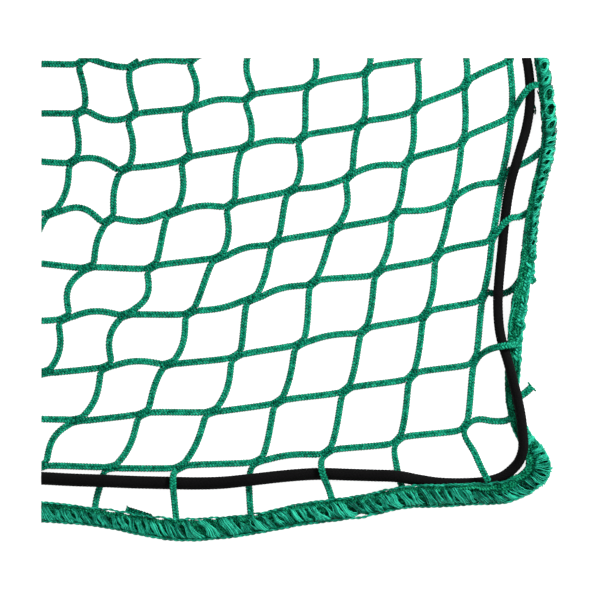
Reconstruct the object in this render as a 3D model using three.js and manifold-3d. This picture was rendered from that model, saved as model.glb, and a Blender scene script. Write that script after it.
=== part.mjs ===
import * as THREE from 'three';
import { mergeVertices } from 'three/addons/utils/BufferGeometryUtils.js';
import Module from 'manifold-3d';

// Corner of a knotless cover net with a crocheted border and an elastic cord threaded through its
// outer meshes, lying flat. Sizes are in mm. X runs to the right along the bottom border, Y runs up
// along the right border, and the floor is z = 0. The other two sides are cut ends of the net.

const strandWide = 3.6;
const strandHigh = 2.8;
const onFloor = strandHigh / 2;
const jointLength = 6.7;
const chainOffset = 1.05;

// A bar leaves and arrives along its joints, by this share of its length. A bar that is bowed further
// than the least bow is made of more steps.
const cornerPull = 0.24;
const barSteps = 3;
const bowedBarSteps = 5;
const leastBow = 1.6;

// How steep the joints lie, in degrees: in the middle of the net, and what each column to the right
// and each course further up adds. Every other joint is steeper.
const middleColumn = 3.5;
const middleCourse = 3.5;
const steepness = { inMiddle: 35, perColumn: 6, perColumnSquared: 0.76, perCourse: 2.85, everyOther: 5 };

const elasticSides = 10;
const elasticStep = 8;

const wrapPitch = 5.2;
const wrapHeight = 0.5;
const wrapSlant = 0.55;
const ringsPerWrap = 3;
const borderSides = 8;
const soleBelow = -0.5;
const curveDivisions = 2000;
const gap = 0.6;
const weldDistance = 1e-4;

const cutLeft = -140.2;
const cutTop = 131.3;
const cutReach = 600;

// One row for each course of the net, counted up from the bottom border. The joints of a course lie
// on a smooth curve through these places: at the right border, and three, six and nine joints on.
const courses = [
  { atBorder: [91, -69], third: [-24, -88], sixth: [-140.5, -91], ninth: [-240.5, -76] },
  { atBorder: [96, -33], third: [-11, -56], sixth: [-121.5, -66], ninth: [-221.5, -58.5] },
  { atBorder: [100.5, 1.5], third: [0.5, -24.5], sixth: [-105.5, -38.5], ninth: [-197.5, -37.5] },
  { atBorder: [105.5, 34], third: [9, 7], sixth: [-94.5, -9], ninth: [-190, -7] },
  { atBorder: [111, 66.5], third: [20.5, 37], sixth: [-80.5, 18.5], ninth: [-182, 19] },
  { atBorder: [116.5, 100.5], third: [28.5, 66.5], sixth: [-69.5, 47], ninth: [-166, 49] },
  { atBorder: [115, 131], third: [34, 95.5], sixth: [-62, 76.5], ninth: [-149.5, 74.5] },
  { atBorder: [111, 147.5], third: [37, 124], sixth: [-59, 104.5], ninth: [-144.5, 105.5] },
  { atBorder: [113.5, 182], third: [39, 155], sixth: [-57.5, 131], ninth: [-142, 136] },
];
const stationColumns = [0, 3, 6, 9];
const lastColumn = 9;

// Joints that lie away from their course's curve, as the net was laid down.
const tugs = [
  { course: 0, column: 3, right: 1.5, up: -0.5 },
  { course: 0, column: 4, right: -1, up: -0.5 },
  { course: 1, column: 4, right: 0.5, up: -0.5 },
  { course: 1, column: 5, right: 0.5, up: 2 },
  { course: 1, column: 6, right: 0.5, up: 0 },
  { course: 2, column: 4, right: 1, up: -0.5 },
  { course: 2, column: 6, right: 0.5, up: 1.5 },
  { course: 3, column: 1, right: 0.5, up: -0.5 },
  { course: 3, column: 2, right: 0.5, up: -0.5 },
  { course: 3, column: 3, right: -1, up: 2 },
  { course: 3, column: 5, right: 1, up: -2 },
  { course: 3, column: 6, right: 0.5, up: 0.5 },
  { course: 3, column: 8, right: 0, up: -2.5 },
  { course: 4, column: 1, right: 1, up: -1.5 },
  { course: 4, column: 3, right: -0.5, up: 1 },
  { course: 4, column: 4, right: -0.5, up: 1.5 },
  { course: 4, column: 5, right: 2, up: -0.5 },
  { course: 4, column: 6, right: 0.5, up: -1 },
  { course: 4, column: 7, right: 0, up: 1 },
  { course: 4, column: 8, right: 0, up: 2.5 },
  { course: 5, column: 0, right: -0.5, up: 1 },
  { course: 5, column: 1, right: 0.5, up: -1.5 },
  { course: 5, column: 2, right: 0, up: -1.5 },
  { course: 5, column: 3, right: -1, up: 0.5 },
  { course: 5, column: 4, right: -0.5, up: 1 },
  { course: 5, column: 5, right: -0.5, up: 0 },
  { course: 5, column: 6, right: 0.5, up: 0 },
  { course: 5, column: 7, right: -1, up: -2 },
  { course: 5, column: 8, right: 0, up: 1.5 },
  { course: 6, column: 0, right: 0, up: 1 },
  { course: 6, column: 2, right: 0, up: -1.5 },
  { course: 6, column: 4, right: -1, up: 0.5 },
  { course: 6, column: 5, right: 1, up: 2 },
  { course: 6, column: 6, right: 0.5, up: 0 },
  { course: 6, column: 7, right: -1.5, up: -3 },
  { course: 6, column: 8, right: 0, up: 2 },
  { course: 7, column: 2, right: 0, up: 0.5 },
  { course: 7, column: 3, right: 0.5, up: 0.5 },
  { course: 7, column: 4, right: 0.5, up: 0.5 },
  { course: 7, column: 5, right: -0.5, up: 0.5 },
  { course: 7, column: 7, right: -0.5, up: -2 },
  { course: 7, column: 9, right: -2, up: -6 },
  { course: 8, column: 7, right: -1, up: -1 },
  { course: 8, column: 8, right: -0.5, up: 0 },
  { course: 8, column: 9, right: -3, up: -9 },
];

// Joints that the elastic cord holds off the floor.
const lifts = [
  { course: 1, column: 0, lift: 1.2 },
  { course: 3, column: 0, lift: 6 },
];

// Bars that sag or arch between two joints: the bar that leaves the joint to the right or upwards,
// and how far its middle lies to the left of the straight line, seen along the bar.
const bows = [
  { course: 0, column: 3, way: 'right', bow: 1.5 },
  { course: 2, column: 3, way: 'right', bow: 1.5 },
  { course: 2, column: 6, way: 'right', bow: 2 },
  { course: 3, column: 1, way: 'right', bow: 0.5 },
  { course: 3, column: 4, way: 'right', bow: 2 },
  { course: 3, column: 5, way: 'right', bow: -1.5 },
  { course: 3, column: 7, way: 'right', bow: 2.5 },
  { course: 4, column: 1, way: 'right', bow: 2 },
  { course: 4, column: 2, way: 'right', bow: -1.5 },
  { course: 4, column: 5, way: 'right', bow: 2 },
  { course: 5, column: 3, way: 'right', bow: 2 },
  { course: 5, column: 4, way: 'right', bow: -1 },
  { course: 5, column: 6, way: 'right', bow: 2 },
  { course: 5, column: 7, way: 'right', bow: -3 },
  { course: 5, column: 8, way: 'right', bow: 5 },
  { course: 6, column: 1, way: 'right', bow: 0.5 },
  { course: 6, column: 3, way: 'right', bow: -0.5 },
  { course: 6, column: 5, way: 'right', bow: 1.5 },
  { course: 6, column: 7, way: 'right', bow: -0.5 },
  { course: 6, column: 8, way: 'right', bow: 2.5 },
  { course: 7, column: 4, way: 'right', bow: 0.5 },
  { course: 7, column: 6, way: 'right', bow: 2 },
  { course: 7, column: 8, way: 'right', bow: -2.5 },
  { course: 8, column: 7, way: 'right', bow: 1.5 },
  { course: 8, column: 8, way: 'right', bow: -1 },
  { course: 0, column: 0, way: 'up', bow: 0.5 },
  { course: 0, column: 4, way: 'up', bow: -2.5 },
  { course: 0, column: 6, way: 'up', bow: 2.5 },
  { course: 1, column: 0, way: 'up', bow: 0.5 },
  { course: 1, column: 3, way: 'up', bow: -0.5 },
  { course: 1, column: 6, way: 'up', bow: -0.5 },
  { course: 2, column: 1, way: 'up', bow: -0.5 },
  { course: 2, column: 4, way: 'up', bow: -1 },
  { course: 2, column: 6, way: 'up', bow: 2.5 },
  { course: 2, column: 7, way: 'up', bow: -1 },
  { course: 3, column: 0, way: 'up', bow: 0.5 },
  { course: 3, column: 2, way: 'up', bow: -1 },
  { course: 3, column: 4, way: 'up', bow: 1 },
  { course: 3, column: 5, way: 'up', bow: -1 },
  { course: 3, column: 6, way: 'up', bow: -2.5 },
  { course: 3, column: 7, way: 'up', bow: 3.5 },
  { course: 4, column: 3, way: 'up', bow: -2 },
  { course: 4, column: 4, way: 'up', bow: -1 },
  { course: 4, column: 6, way: 'up', bow: -1 },
  { course: 4, column: 7, way: 'up', bow: 3.5 },
  { course: 5, column: 2, way: 'up', bow: -0.5 },
  { course: 5, column: 3, way: 'up', bow: 1 },
  { course: 5, column: 7, way: 'up', bow: 0.5 },
  { course: 6, column: 4, way: 'up', bow: -1 },
  { course: 6, column: 5, way: 'up', bow: 0.5 },
  { course: 6, column: 8, way: 'up', bow: -2 },
  { course: 7, column: 5, way: 'up', bow: 1 },
  { course: 7, column: 8, way: 'up', bow: 1 },
];
// Away from the border every other upright bar arches to the other side.
const uprightBow = 1.5;
const uprightLean = -0.5;
const evenNetColumns = 3;

// Bars from the first course down to the bottom border, as the places that they pass, with the
// height of the strand's middle: over the elastic cord or under it in turn.
const bottomBars = [
  { column: 0, places: [[95.8, -84, 4.2], [99.8, -93, 9.2], [103.1, -99.1, 11]] },
  { column: 1, places: [[53.5, -92, onFloor], [54.7, -98, 1.6], [57, -104, 2.2]] },
  { column: 2, places: [[12.2, -90, 6.7], [13.2, -95.7, 8.9], [15.8, -102, 5.4], [18.4, -110, 3]] },
  { column: 3, places: [[-27, -97.5, onFloor], [-26.8, -108, 1.6], [-26, -119, 3]] },
  { column: 4, places: [[-68.2, -96, 7.1], [-68.4, -101.2, 8.8], [-67.7, -110, 5.2], [-66.6, -121, 3]] },
  { column: 5, places: [[-107, -98, onFloor], [-110, -108, 1.6], [-111.5, -118, 3]] },
];

// Bars from the joints beside the right border out to it, in the same way.
const sideBars = [
  { course: 0, places: [[98.5, -65.5, 1.5], [106, -66.5, 1.8], [113.5, -66, 2.4], [117, -63, 2.6]] },
  { course: 1, places: [[104, -27.3, 8], [109.5, -25.8, 12.2], [113.5, -25.2, 12], [120, -24.5, 4]] },
  { course: 2, places: [[104.5, 3.3, onFloor], [111.5, 3, 1.6], [116.5, 5.5, 2.4], [122, 13, 4]] },
  { course: 3, places: [[112, 41.5, 8.4], [116, 44.2, 7.4], [120.5, 44.8, 4.4], [127.5, 49, 4]] },
  { course: 4, places: [[117.5, 71.8, onFloor], [123, 74.2, 1.8], [127.5, 77, 2.8], [133, 81.5, 4]] },
  { course: 5, places: [[121, 109.5, 6.6], [125.5, 115, 8.1], [129, 116.5, 7.2], [134, 116.5, 4]] },
];

// The border band, from the left cut to the top cut: the middle of the band, its width and height,
// and how far its inner edge is raised where it lies over the elastic cord.
const borderStations = [
  { x: -150, y: -114.5, wide: 11.5, tall: 6, raised: 0 },
  { x: -140.5, y: -115.5, wide: 11.2, tall: 6, raised: 0 },
  { x: -110.5, y: -118.6, wide: 9.8, tall: 6, raised: 0 },
  { x: -68.5, y: -125.3, wide: 12, tall: 6, raised: 0 },
  { x: -43, y: -124.5, wide: 12, tall: 6, raised: 0 },
  { x: -21, y: -121.7, wide: 11, tall: 6, raised: 0 },
  { x: 0.7, y: -117.2, wide: 12, tall: 6, raised: 0 },
  { x: 31.7, y: -113, wide: 12.2, tall: 6, raised: 0 },
  { x: 43, y: -110.8, wide: 12.2, tall: 6, raised: 1.5 },
  { x: 53, y: -108.5, wide: 12.2, tall: 5.8, raised: 4.2 },
  { x: 63, y: -107.2, wide: 12.4, tall: 5.6, raised: 6.5 },
  { x: 78, y: -106.8, wide: 12.4, tall: 5.6, raised: 6.5 },
  { x: 94.5, y: -106, wide: 12, tall: 5.6, raised: 6.5 },
  { x: 104, y: -105.7, wide: 12, tall: 5.6, raised: 6.5 },
  { x: 113, y: -104.5, wide: 12.6, tall: 5.6, raised: 5 },
  { x: 123.1, y: -100.1, wide: 13.9, tall: 6, raised: 0 },
  { x: 130, y: -92.7, wide: 15.2, tall: 6, raised: 0 },
  { x: 128.6, y: -84.1, wide: 11.2, tall: 5, raised: 0 },
  { x: 123.6, y: -76.7, wide: 8.6, tall: 4.6, raised: 0 },
  { x: 119.5, y: -68.5, wide: 8.6, tall: 4.6, raised: 0 },
  { x: 116.3, y: -55, wide: 7.6, tall: 4.6, raised: 0 },
  { x: 116.2, y: -38.7, wide: 8.8, tall: 4.6, raised: 0 },
  { x: 117.6, y: -19.6, wide: 8.4, tall: 5.6, raised: 0 },
  { x: 119.8, y: -0.5, wide: 8.1, tall: 8.5, raised: 0 },
  { x: 123.6, y: 17, wide: 7.8, tall: 9.5, raised: 0 },
  { x: 125.8, y: 35, wide: 8, tall: 9.5, raised: 0 },
  { x: 128.3, y: 52, wide: 7.6, tall: 9.5, raised: 0 },
  { x: 131.2, y: 64, wide: 7.8, tall: 9.5, raised: 0 },
  { x: 134.7, y: 78, wide: 8.2, tall: 9.5, raised: 0 },
  { x: 136.1, y: 92, wide: 8.4, tall: 9.5, raised: 0 },
  { x: 135.4, y: 103, wide: 8.4, tall: 9.5, raised: 0 },
  { x: 134.3, y: 114, wide: 8.3, tall: 9.5, raised: 0 },
  { x: 131.6, y: 131.3, wide: 8, tall: 9.5, raised: 0 },
  { x: 130.1, y: 141, wide: 8, tall: 9.5, raised: 0 },
];

// Trimmed ends of strands that stick out of the border, as the places that they pass.
const trimmedEnds = [
  [[117, -55, 2.4], [123.5, -51, 2.4], [126.8, -48, 2.2]],
  [[-80, -118.6, 4], [-87, -116.3, 4], [-93.4, -114.4, 3.6]],
  [[124, 14, 6], [126.4, 11.5, 6], [128, 9.4, 5.6]],
];

// The elastic cord's route, from the left cut to the top cut.
const elasticRoute = [
  [-150, -97.3, 3.6], [-138, -97.7, 3.8], [-124, -98.4, 4.9], [-107.5, -98.9, 6.7],
  [-92, -99.6, 4.9], [-78, -100, 3.6], [-68.5, -100.2, 3.5], [-56, -100.4, 3.5], [-42, -100, 4.7],
  [-27.3, -98.5, 6.6], [-12, -96.8, 4.7], [2, -95.6, 3.5], [13, -95.2, 3.4], [26, -95.6, 3.8],
  [40, -96, 4.9], [53.5, -96.5, 6.7], [66, -98.8, 4], [77, -100.3, 3.2], [94.5, -100.3, 3],
  [104.5, -99, 3.1], [111.4, -96.5, 3.1], [116.6, -92.4, 3.9], [120, -88, 5.6], [122, -81.5, 7.6],
  [121.8, -74, 8.2], [120.9, -64.5, 8.2], [119, -54.5, 8.2], [116.3, -43.5, 8.2], [113.5, -33, 8],
  [111, -25, 6.9], [109.2, -16, 5], [108.4, -5, 5], [108.5, 3.5, 6.2], [109.5, 15.5, 4.2],
  [110.8, 28, 2.9], [112, 41, 2.8], [113.7, 54, 3.6], [115.9, 65.5, 5.2], [118.2, 73.5, 6.4],
  [120.8, 82, 4.4], [123.7, 92, 3], [125.6, 103, 2.8], [126, 114, 2.8], [125.1, 125, 2.8],
  [124, 131.3, 2.8], [122.6, 141, 2.8],
];

// How thick the elastic cord is, by the share of its way: it is stretched on the right.
const elasticThickness = [
  { share: 0, thick: 6.8 }, { share: 0.15, thick: 6.7 }, { share: 0.25, thick: 6.4 },
  { share: 0.4, thick: 6.3 }, { share: 0.5, thick: 5.6 }, { share: 0.56, thick: 5.3 },
  { share: 0.66, thick: 5.1 }, { share: 1, thick: 5 },
];

const wasm = await Module();
wasm.setup();

function solidOf(geometry) {
  const bare = geometry.index ? geometry.toNonIndexed() : geometry.clone();
  bare.deleteAttribute('normal');
  bare.deleteAttribute('uv');
  const merged = mergeVertices(bare, weldDistance);
  const vertProperties = new Float32Array(merged.attributes.position.array);
  const triVerts = new Uint32Array(merged.index.array);
  return new wasm.Manifold(new wasm.Mesh({ numProp: 3, vertProperties, triVerts }));
}

function geometryOf(solid) {
  const mesh = solid.getMesh();
  const geometry = new THREE.BufferGeometry();
  geometry.setAttribute('position', new THREE.BufferAttribute(new Float32Array(mesh.vertProperties), 3));
  geometry.setIndex(new THREE.BufferAttribute(new Uint32Array(mesh.triVerts), 1));
  return geometry;
}

function joinAll(solids) {
  let round = solids;
  while (round.length > 1) {
    const next = [];
    for (let i = 0; i < round.length; i += 2) {
      next.push(i + 1 < round.length ? round[i].add(round[i + 1]) : round[i]);
    }
    round = next;
  }
  return round[0];
}

// Closed skin over a row of rings that have the same number of points, in the same turn.
function skinOf(rings) {
  const sides = rings[0].length;
  const positions = rings.flat().flatMap((p) => [p.x, p.y, p.z]);
  const faces = [];
  for (let r = 0; r + 1 < rings.length; r += 1) {
    for (let s = 0; s < sides; s += 1) {
      const a = r * sides + s;
      const b = r * sides + ((s + 1) % sides);
      faces.push(a, a + sides, b, b, a + sides, b + sides);
    }
  }
  const end = (rings.length - 1) * sides;
  for (let s = 1; s + 1 < sides; s += 1) {
    faces.push(0, s, s + 1, end, end + s + 1, end + s);
  }
  const geometry = new THREE.BufferGeometry();
  geometry.setAttribute('position', new THREE.Float32BufferAttribute(positions, 3));
  geometry.setIndex(faces);
  return geometry;
}

// A ring of section points around a place: each has a share to the side and a share upwards.
function ringAt(place, forward, section) {
  const side = new THREE.Vector3(-forward.y, forward.x, 0).normalize();
  const rise = forward.clone().normalize().cross(side);
  return section.map(([out, up]) => place.clone().addScaledVector(side, out).addScaledVector(rise, up));
}

// Six-sided strand with a level sole.
const strandSection = [[-0.25, -0.5], [-0.5, 0], [-0.25, 0.5], [0.25, 0.5], [0.5, 0], [0.25, -0.5]]
  .map(([out, up]) => [out * strandWide, up * strandHigh]);

function strandAlong(places) {
  const rings = places.map((place, i) => {
    const before = places[Math.max(i - 1, 0)];
    const after = places[Math.min(i + 1, places.length - 1)];
    return ringAt(place, after.clone().sub(before), strandSection);
  });
  return solidOf(skinOf(rings));
}

function findRow(table, wanted) {
  return table.find((row) => Object.keys(wanted).every((key) => row[key] === wanted[key]));
}

// The middle of a joint: on its course's curve, moved by its tug.
function jointMiddle(course, column) {
  const row = courses[course];
  const stations = [row.atBorder, row.third, row.sixth, row.ninth];
  const middle = new THREE.Vector3(0, 0, onFloor);
  stations.forEach((station, i) => {
    const others = stationColumns.filter((other, k) => k !== i);
    const here = stationColumns[i];
    const share = others.reduce((product, other) => product * (column - other) / (here - other), 1);
    middle.x += share * station[0];
    middle.y += share * station[1];
  });
  const tug = findRow(tugs, { course, column });
  if (tug) middle.add(new THREE.Vector3(tug.right, tug.up, 0));
  const held = findRow(lifts, { course, column });
  if (held) middle.z += held.lift;
  return middle;
}

// Joints lie more upright towards the right border and higher up, and every other one is steeper.
function jointDirection(course, column) {
  const across = middleColumn - column;
  const up = course - middleCourse;
  const inEvenNet = THREE.MathUtils.clamp((column - evenNetColumns + 1) / 2, 0, 1);
  const turn = (course + column) % 2 === 0 ? steepness.everyOther : -steepness.everyOther;
  const degrees = steepness.inMiddle + steepness.perColumn * across + steepness.perCourse * up
    + steepness.perColumnSquared * across * across + turn * inEvenNet;
  const angle = THREE.MathUtils.degToRad(degrees);
  return new THREE.Vector3(Math.cos(angle), Math.sin(angle), 0);
}

// Two chains lie side by side in a joint. The upper one comes from the left and goes up, and the
// lower one comes from below and goes to the right.
function chainInJoint(course, column, isUpper) {
  const middle = jointMiddle(course, column);
  const along = jointDirection(course, column);
  const side = new THREE.Vector3(-along.y, along.x, 0).multiplyScalar(isUpper ? chainOffset : -chainOffset);
  const from = middle.clone().add(side).addScaledVector(along, -jointLength / 2);
  const to = middle.clone().add(side).addScaledVector(along, jointLength / 2);
  return { from, to, along };
}

function bowOf(course, column, way) {
  const row = findRow(bows, { course, column, way });
  let bow = row ? row.bow : 0;
  if (way === 'up') {
    const inEvenNet = THREE.MathUtils.clamp(column - evenNetColumns, 0, 1);
    bow += uprightLean + ((course + column) % 2 === 0 ? uprightBow : -uprightBow) * inEvenNet;
  }
  return bow;
}

// The places between two joints: a curve that leaves and arrives along the joints.
function barBetween(start, end, bow) {
  const span = end.from.clone().sub(start.to);
  const pull = span.length() * cornerPull;
  const side = new THREE.Vector3(-span.y, span.x, 0).normalize();
  const steps = Math.abs(bow) > leastBow ? bowedBarSteps : barSteps;
  const places = [];
  for (let i = 1; i < steps; i += 1) {
    const t = i / steps;
    const place = start.to.clone().addScaledVector(span, t * t * (3 - 2 * t));
    place.addScaledVector(start.along, pull * t * (1 - t) * (1 - t));
    place.addScaledVector(end.along, -pull * t * t * (1 - t));
    place.addScaledVector(side, bow * Math.sin(Math.PI * t) ** 2);
    places.push(place);
  }
  return places;
}

// A chain climbs the net like a staircase: to the right along a course, then up to the next.
function chainPlaces(course, column, startPlaces, startsUpper) {
  const places = [...startPlaces];
  let isUpper = startsUpper;
  let at = { course, column };
  while (true) {
    const here = chainInJoint(at.course, at.column, isUpper);
    places.push(here.from, here.to);
    const next = isUpper
      ? { course: at.course + 1, column: at.column }
      : { course: at.course, column: at.column - 1 };
    if (next.course === courses.length) break;
    if (next.column < 0) {
      const bar = findRow(sideBars, { course: at.course });
      if (bar) places.push(...bar.places.map((p) => new THREE.Vector3(...p)));
      break;
    }
    const way = isUpper ? 'up' : 'right';
    const there = chainInJoint(next.course, next.column, !isUpper);
    places.push(...barBetween(here, there, bowOf(at.course, at.column, way)));
    isUpper = !isUpper;
    at = next;
  }
  return places;
}

function netChains() {
  const chains = [];
  for (let column = 0; column <= lastColumn; column += 1) {
    const bar = findRow(bottomBars, { column });
    const startPlaces = bar ? bar.places.map((p) => new THREE.Vector3(...p)).reverse() : [];
    chains.push(chainPlaces(0, column, startPlaces, false));
  }
  for (let course = 0; course < courses.length; course += 1) {
    chains.push(chainPlaces(course, lastColumn, [], true));
  }
  return chains.map((places) => strandAlong(places));
}

// Even steps along a smooth curve through the border's stations.
function borderRings(extra) {
  const places = borderStations.map((s) => new THREE.Vector3(s.x, s.y, 0));
  const middles = new THREE.CatmullRomCurve3(places);
  const sizes = new THREE.CatmullRomCurve3(
    borderStations.map((s) => new THREE.Vector3(s.wide, s.tall, s.raised)),
  );
  middles.arcLengthDivisions = curveDivisions;
  const count = Math.round(middles.getLength() / wrapPitch) * ringsPerWrap;
  const rings = [];
  for (let i = 0; i <= count; i += 1) {
    const t = middles.getUtoTmapping(i / count);
    const size = sizes.getPoint(t);
    const forward = middles.getTangent(t);
    rings.push(borderRing(middles.getPoint(t), forward, size, i / ringsPerWrap, extra));
  }
  return rings;
}

// An eight-sided band with a level sole, whose slanted wraps stand out on its top and sides.
function borderRing(middle, forward, size, wraps, extra) {
  const side = new THREE.Vector3(-forward.y, forward.x, 0).normalize();
  const ring = [];
  for (let s = 0; s < borderSides; s += 1) {
    const angle = -(s + 0.5) * (2 * Math.PI / borderSides) - Math.PI / 2;
    const out = Math.cos(angle) / Math.cos(Math.PI / borderSides);
    const up = Math.sin(angle) / Math.cos(Math.PI / borderSides);
    const onTop = up > soleBelow ? 1 : 0;
    const ridge = onTop * wrapHeight * Math.cos(2 * Math.PI * (wraps + wrapSlant * out));
    const halfWide = size.x / 2 + extra + ridge / 2;
    const halfTall = size.y / 2 + extra + ridge;
    const lift = Math.max(size.z, 0) * (0.5 + out / 2);
    const z = Math.max(halfTall * up + size.y / 2, -extra) + lift;
    ring.push(new THREE.Vector3(middle.x + side.x * halfWide * out, middle.y + side.y * halfWide * out, z));
  }
  return ring;
}

function borderSolid(extra) {
  return solidOf(skinOf(borderRings(extra)));
}

function trimmedEndSolids() {
  return trimmedEnds.map((places) => strandAlong(places.map((p) => new THREE.Vector3(...p))));
}

function thicknessAt(share) {
  const next = elasticThickness.findIndex((row) => row.share >= share);
  const to = elasticThickness[Math.max(next, 1)];
  const from = elasticThickness[Math.max(next, 1) - 1];
  return THREE.MathUtils.mapLinear(share, from.share, to.share, from.thick, to.thick);
}

function elasticSolid() {
  const path = new THREE.CatmullRomCurve3(elasticRoute.map((p) => new THREE.Vector3(...p)));
  path.arcLengthDivisions = curveDivisions;
  const steps = Math.round(path.getLength() / elasticStep);
  const rings = [];
  for (let i = 0; i <= steps; i += 1) {
    const radius = thicknessAt(i / steps) / 2;
    const section = [];
    for (let s = 0; s < elasticSides; s += 1) {
      const angle = -(s + 0.5) * 2 * Math.PI / elasticSides;
      section.push([radius * Math.cos(angle), radius * Math.sin(angle)]);
    }
    rings.push(ringAt(path.getPointAt(i / steps), path.getTangentAt(i / steps), section));
  }
  return solidOf(skinOf(rings));
}

// What is left of the net once the sides towards the rest of the sheet are cut straight.
function insideTheCuts(solid) {
  const block = new THREE.BoxGeometry(cutReach, cutReach, cutReach);
  block.translate(cutLeft + cutReach / 2, cutTop - cutReach / 2, 0);
  return solid.intersect(solidOf(block));
}

const netting = insideTheCuts(joinAll(netChains())).subtract(borderSolid(gap));
const border = insideTheCuts(joinAll([borderSolid(0), ...trimmedEndSolids()]));
const elastic = insideTheCuts(elasticSolid());

function meshOf(name, solid, colour, roughness) {
  const material = new THREE.MeshStandardMaterial({ color: colour, roughness, metalness: 0 });
  const mesh = new THREE.Mesh(geometryOf(solid), material);
  mesh.name = name;
  return mesh;
}

const net = new THREE.Group();
net.add(meshOf('netting', netting, 0x118a66, 0.6));
net.add(meshOf('border_band', border, 0x10936c, 0.5));
net.add(meshOf('elastic_cord', elastic, 0x131413, 0.8));

// The origin is under the middle of the whole, on the floor.
const box = new THREE.Box3().setFromObject(net);
const middle = box.getCenter(new THREE.Vector3());
net.position.set(-middle.x, -middle.y, -box.min.z);

export default net;
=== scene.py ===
import math
from collections import namedtuple

import bmesh
import bpy
import numpy as np
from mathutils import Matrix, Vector


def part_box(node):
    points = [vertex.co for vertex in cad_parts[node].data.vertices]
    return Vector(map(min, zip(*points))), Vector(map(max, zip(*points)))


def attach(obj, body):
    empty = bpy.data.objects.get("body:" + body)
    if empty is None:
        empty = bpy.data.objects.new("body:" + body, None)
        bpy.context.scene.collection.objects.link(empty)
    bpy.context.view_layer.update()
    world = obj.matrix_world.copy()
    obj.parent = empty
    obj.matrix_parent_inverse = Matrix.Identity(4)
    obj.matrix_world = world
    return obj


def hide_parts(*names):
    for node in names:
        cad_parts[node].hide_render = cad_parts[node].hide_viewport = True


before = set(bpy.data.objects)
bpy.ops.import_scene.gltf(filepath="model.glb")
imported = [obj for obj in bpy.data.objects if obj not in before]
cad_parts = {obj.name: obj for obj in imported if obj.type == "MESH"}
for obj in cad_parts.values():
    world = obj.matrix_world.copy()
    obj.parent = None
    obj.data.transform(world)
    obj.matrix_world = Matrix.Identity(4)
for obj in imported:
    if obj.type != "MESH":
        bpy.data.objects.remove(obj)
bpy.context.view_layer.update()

# Corner of a knotless cover net with a crocheted border and an elastic cord. Shapes are worked out
# in millimetres in the part's own axes, and place() brings them into the frame, in metres.

MM = 0.001
CUT_LEFT = -140.2
CUT_TOP = 131.3
CUT_MARGIN = 2.5

STRAND_HIGH = 2.8
ON_FLOOR = STRAND_HIGH / 2
JOINT_LENGTH = 6.7
JOINT_OFFSET = 1.25
JOINT_NARROWING = 0.84
CORNER_PULL = 0.24
UPRIGHT_BOW = 1.5
UPRIGHT_LEAN = -0.5
EVEN_NET_COLUMNS = 3
MIDDLE_COLUMN = 3.5
MIDDLE_COURSE = 3.5
# How steeply a joint lies, in degrees: in the middle of the net, and how that changes.
STEEPNESS = 35
PER_COLUMN = 6
PER_COLUMN_SQUARED = 0.76
PER_COURSE = 2.85
EVERY_OTHER = 5
LAST_COLUMN = 9
SPLIT_COLUMN = 8
BAR_STEPS = 7

# A net strand is a plait of three yarns, which shows as a column of V stitches. The tone of a yarn runs
# from 0, dark, to 1, light. Painted light and shade make it lighter where the yarn climbs over the others,
# and darker where it dives under them, at its sides and in joints.
PLAIT_PERIOD = 4.6
PLAIT_STEP = 0.46
PLAIT_SWING = 1.34
PLAIT_CLIMB = 0.6
PLAIT_TONE = 0.5
PLAIT_WANDER = 0.05
WANDER_WAY = 3.1
CLIMB_SHADE = 0.3
SIDE_SHADE = 0.36
JOINT_SHADE = 0.5
YARN_HALF_WIDE = 0.7
YARN_HALF_HIGH = 0.66
YARN_SIDES = 6
YARN_TONE_SPREAD = 0.04
# The fibre pattern starts anywhere on a yarn, and waves in any phase. No yarn lies below the floor.
FIBRE_STARTS = 500
PHASES = (0, 6)
LOWEST = 0.02

BRAID_CARRIERS = 8
BRAID_PITCH = 1.9
BRAID_RELIEF = 0.24
BRAID_SWELL = 0.19
BRAID_LEVEL = 0.45
BRAID_DIVE = 0.55
BRAID_STEP = 0.38
BRAID_SIDES = 48

# The joints of a course lie on a smooth curve through these places: at the right border, and three,
# six and nine joints on. Courses are counted up from the bottom border.
COURSE_COLUMNS = (0, 3, 6, 9)
COURSES = (
    ((91, -69), (-24, -88), (-140.5, -91), (-240.5, -76)),
    ((96, -33), (-11, -56), (-121.5, -66), (-221.5, -58.5)),
    ((100.5, 1.5), (0.5, -24.5), (-105.5, -38.5), (-197.5, -37.5)),
    ((105.5, 34), (9, 7), (-94.5, -9), (-190, -7)),
    ((111, 66.5), (20.5, 37), (-80.5, 18.5), (-182, 19)),
    ((116.5, 100.5), (28.5, 66.5), (-69.5, 47), (-166, 49)),
    ((115, 131), (34, 95.5), (-62, 76.5), (-149.5, 74.5)),
    ((111, 147.5), (37, 124), (-59, 104.5), (-144.5, 105.5)),
    ((113.5, 182), (39, 155), (-57.5, 131), (-142, 136)),
)

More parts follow.
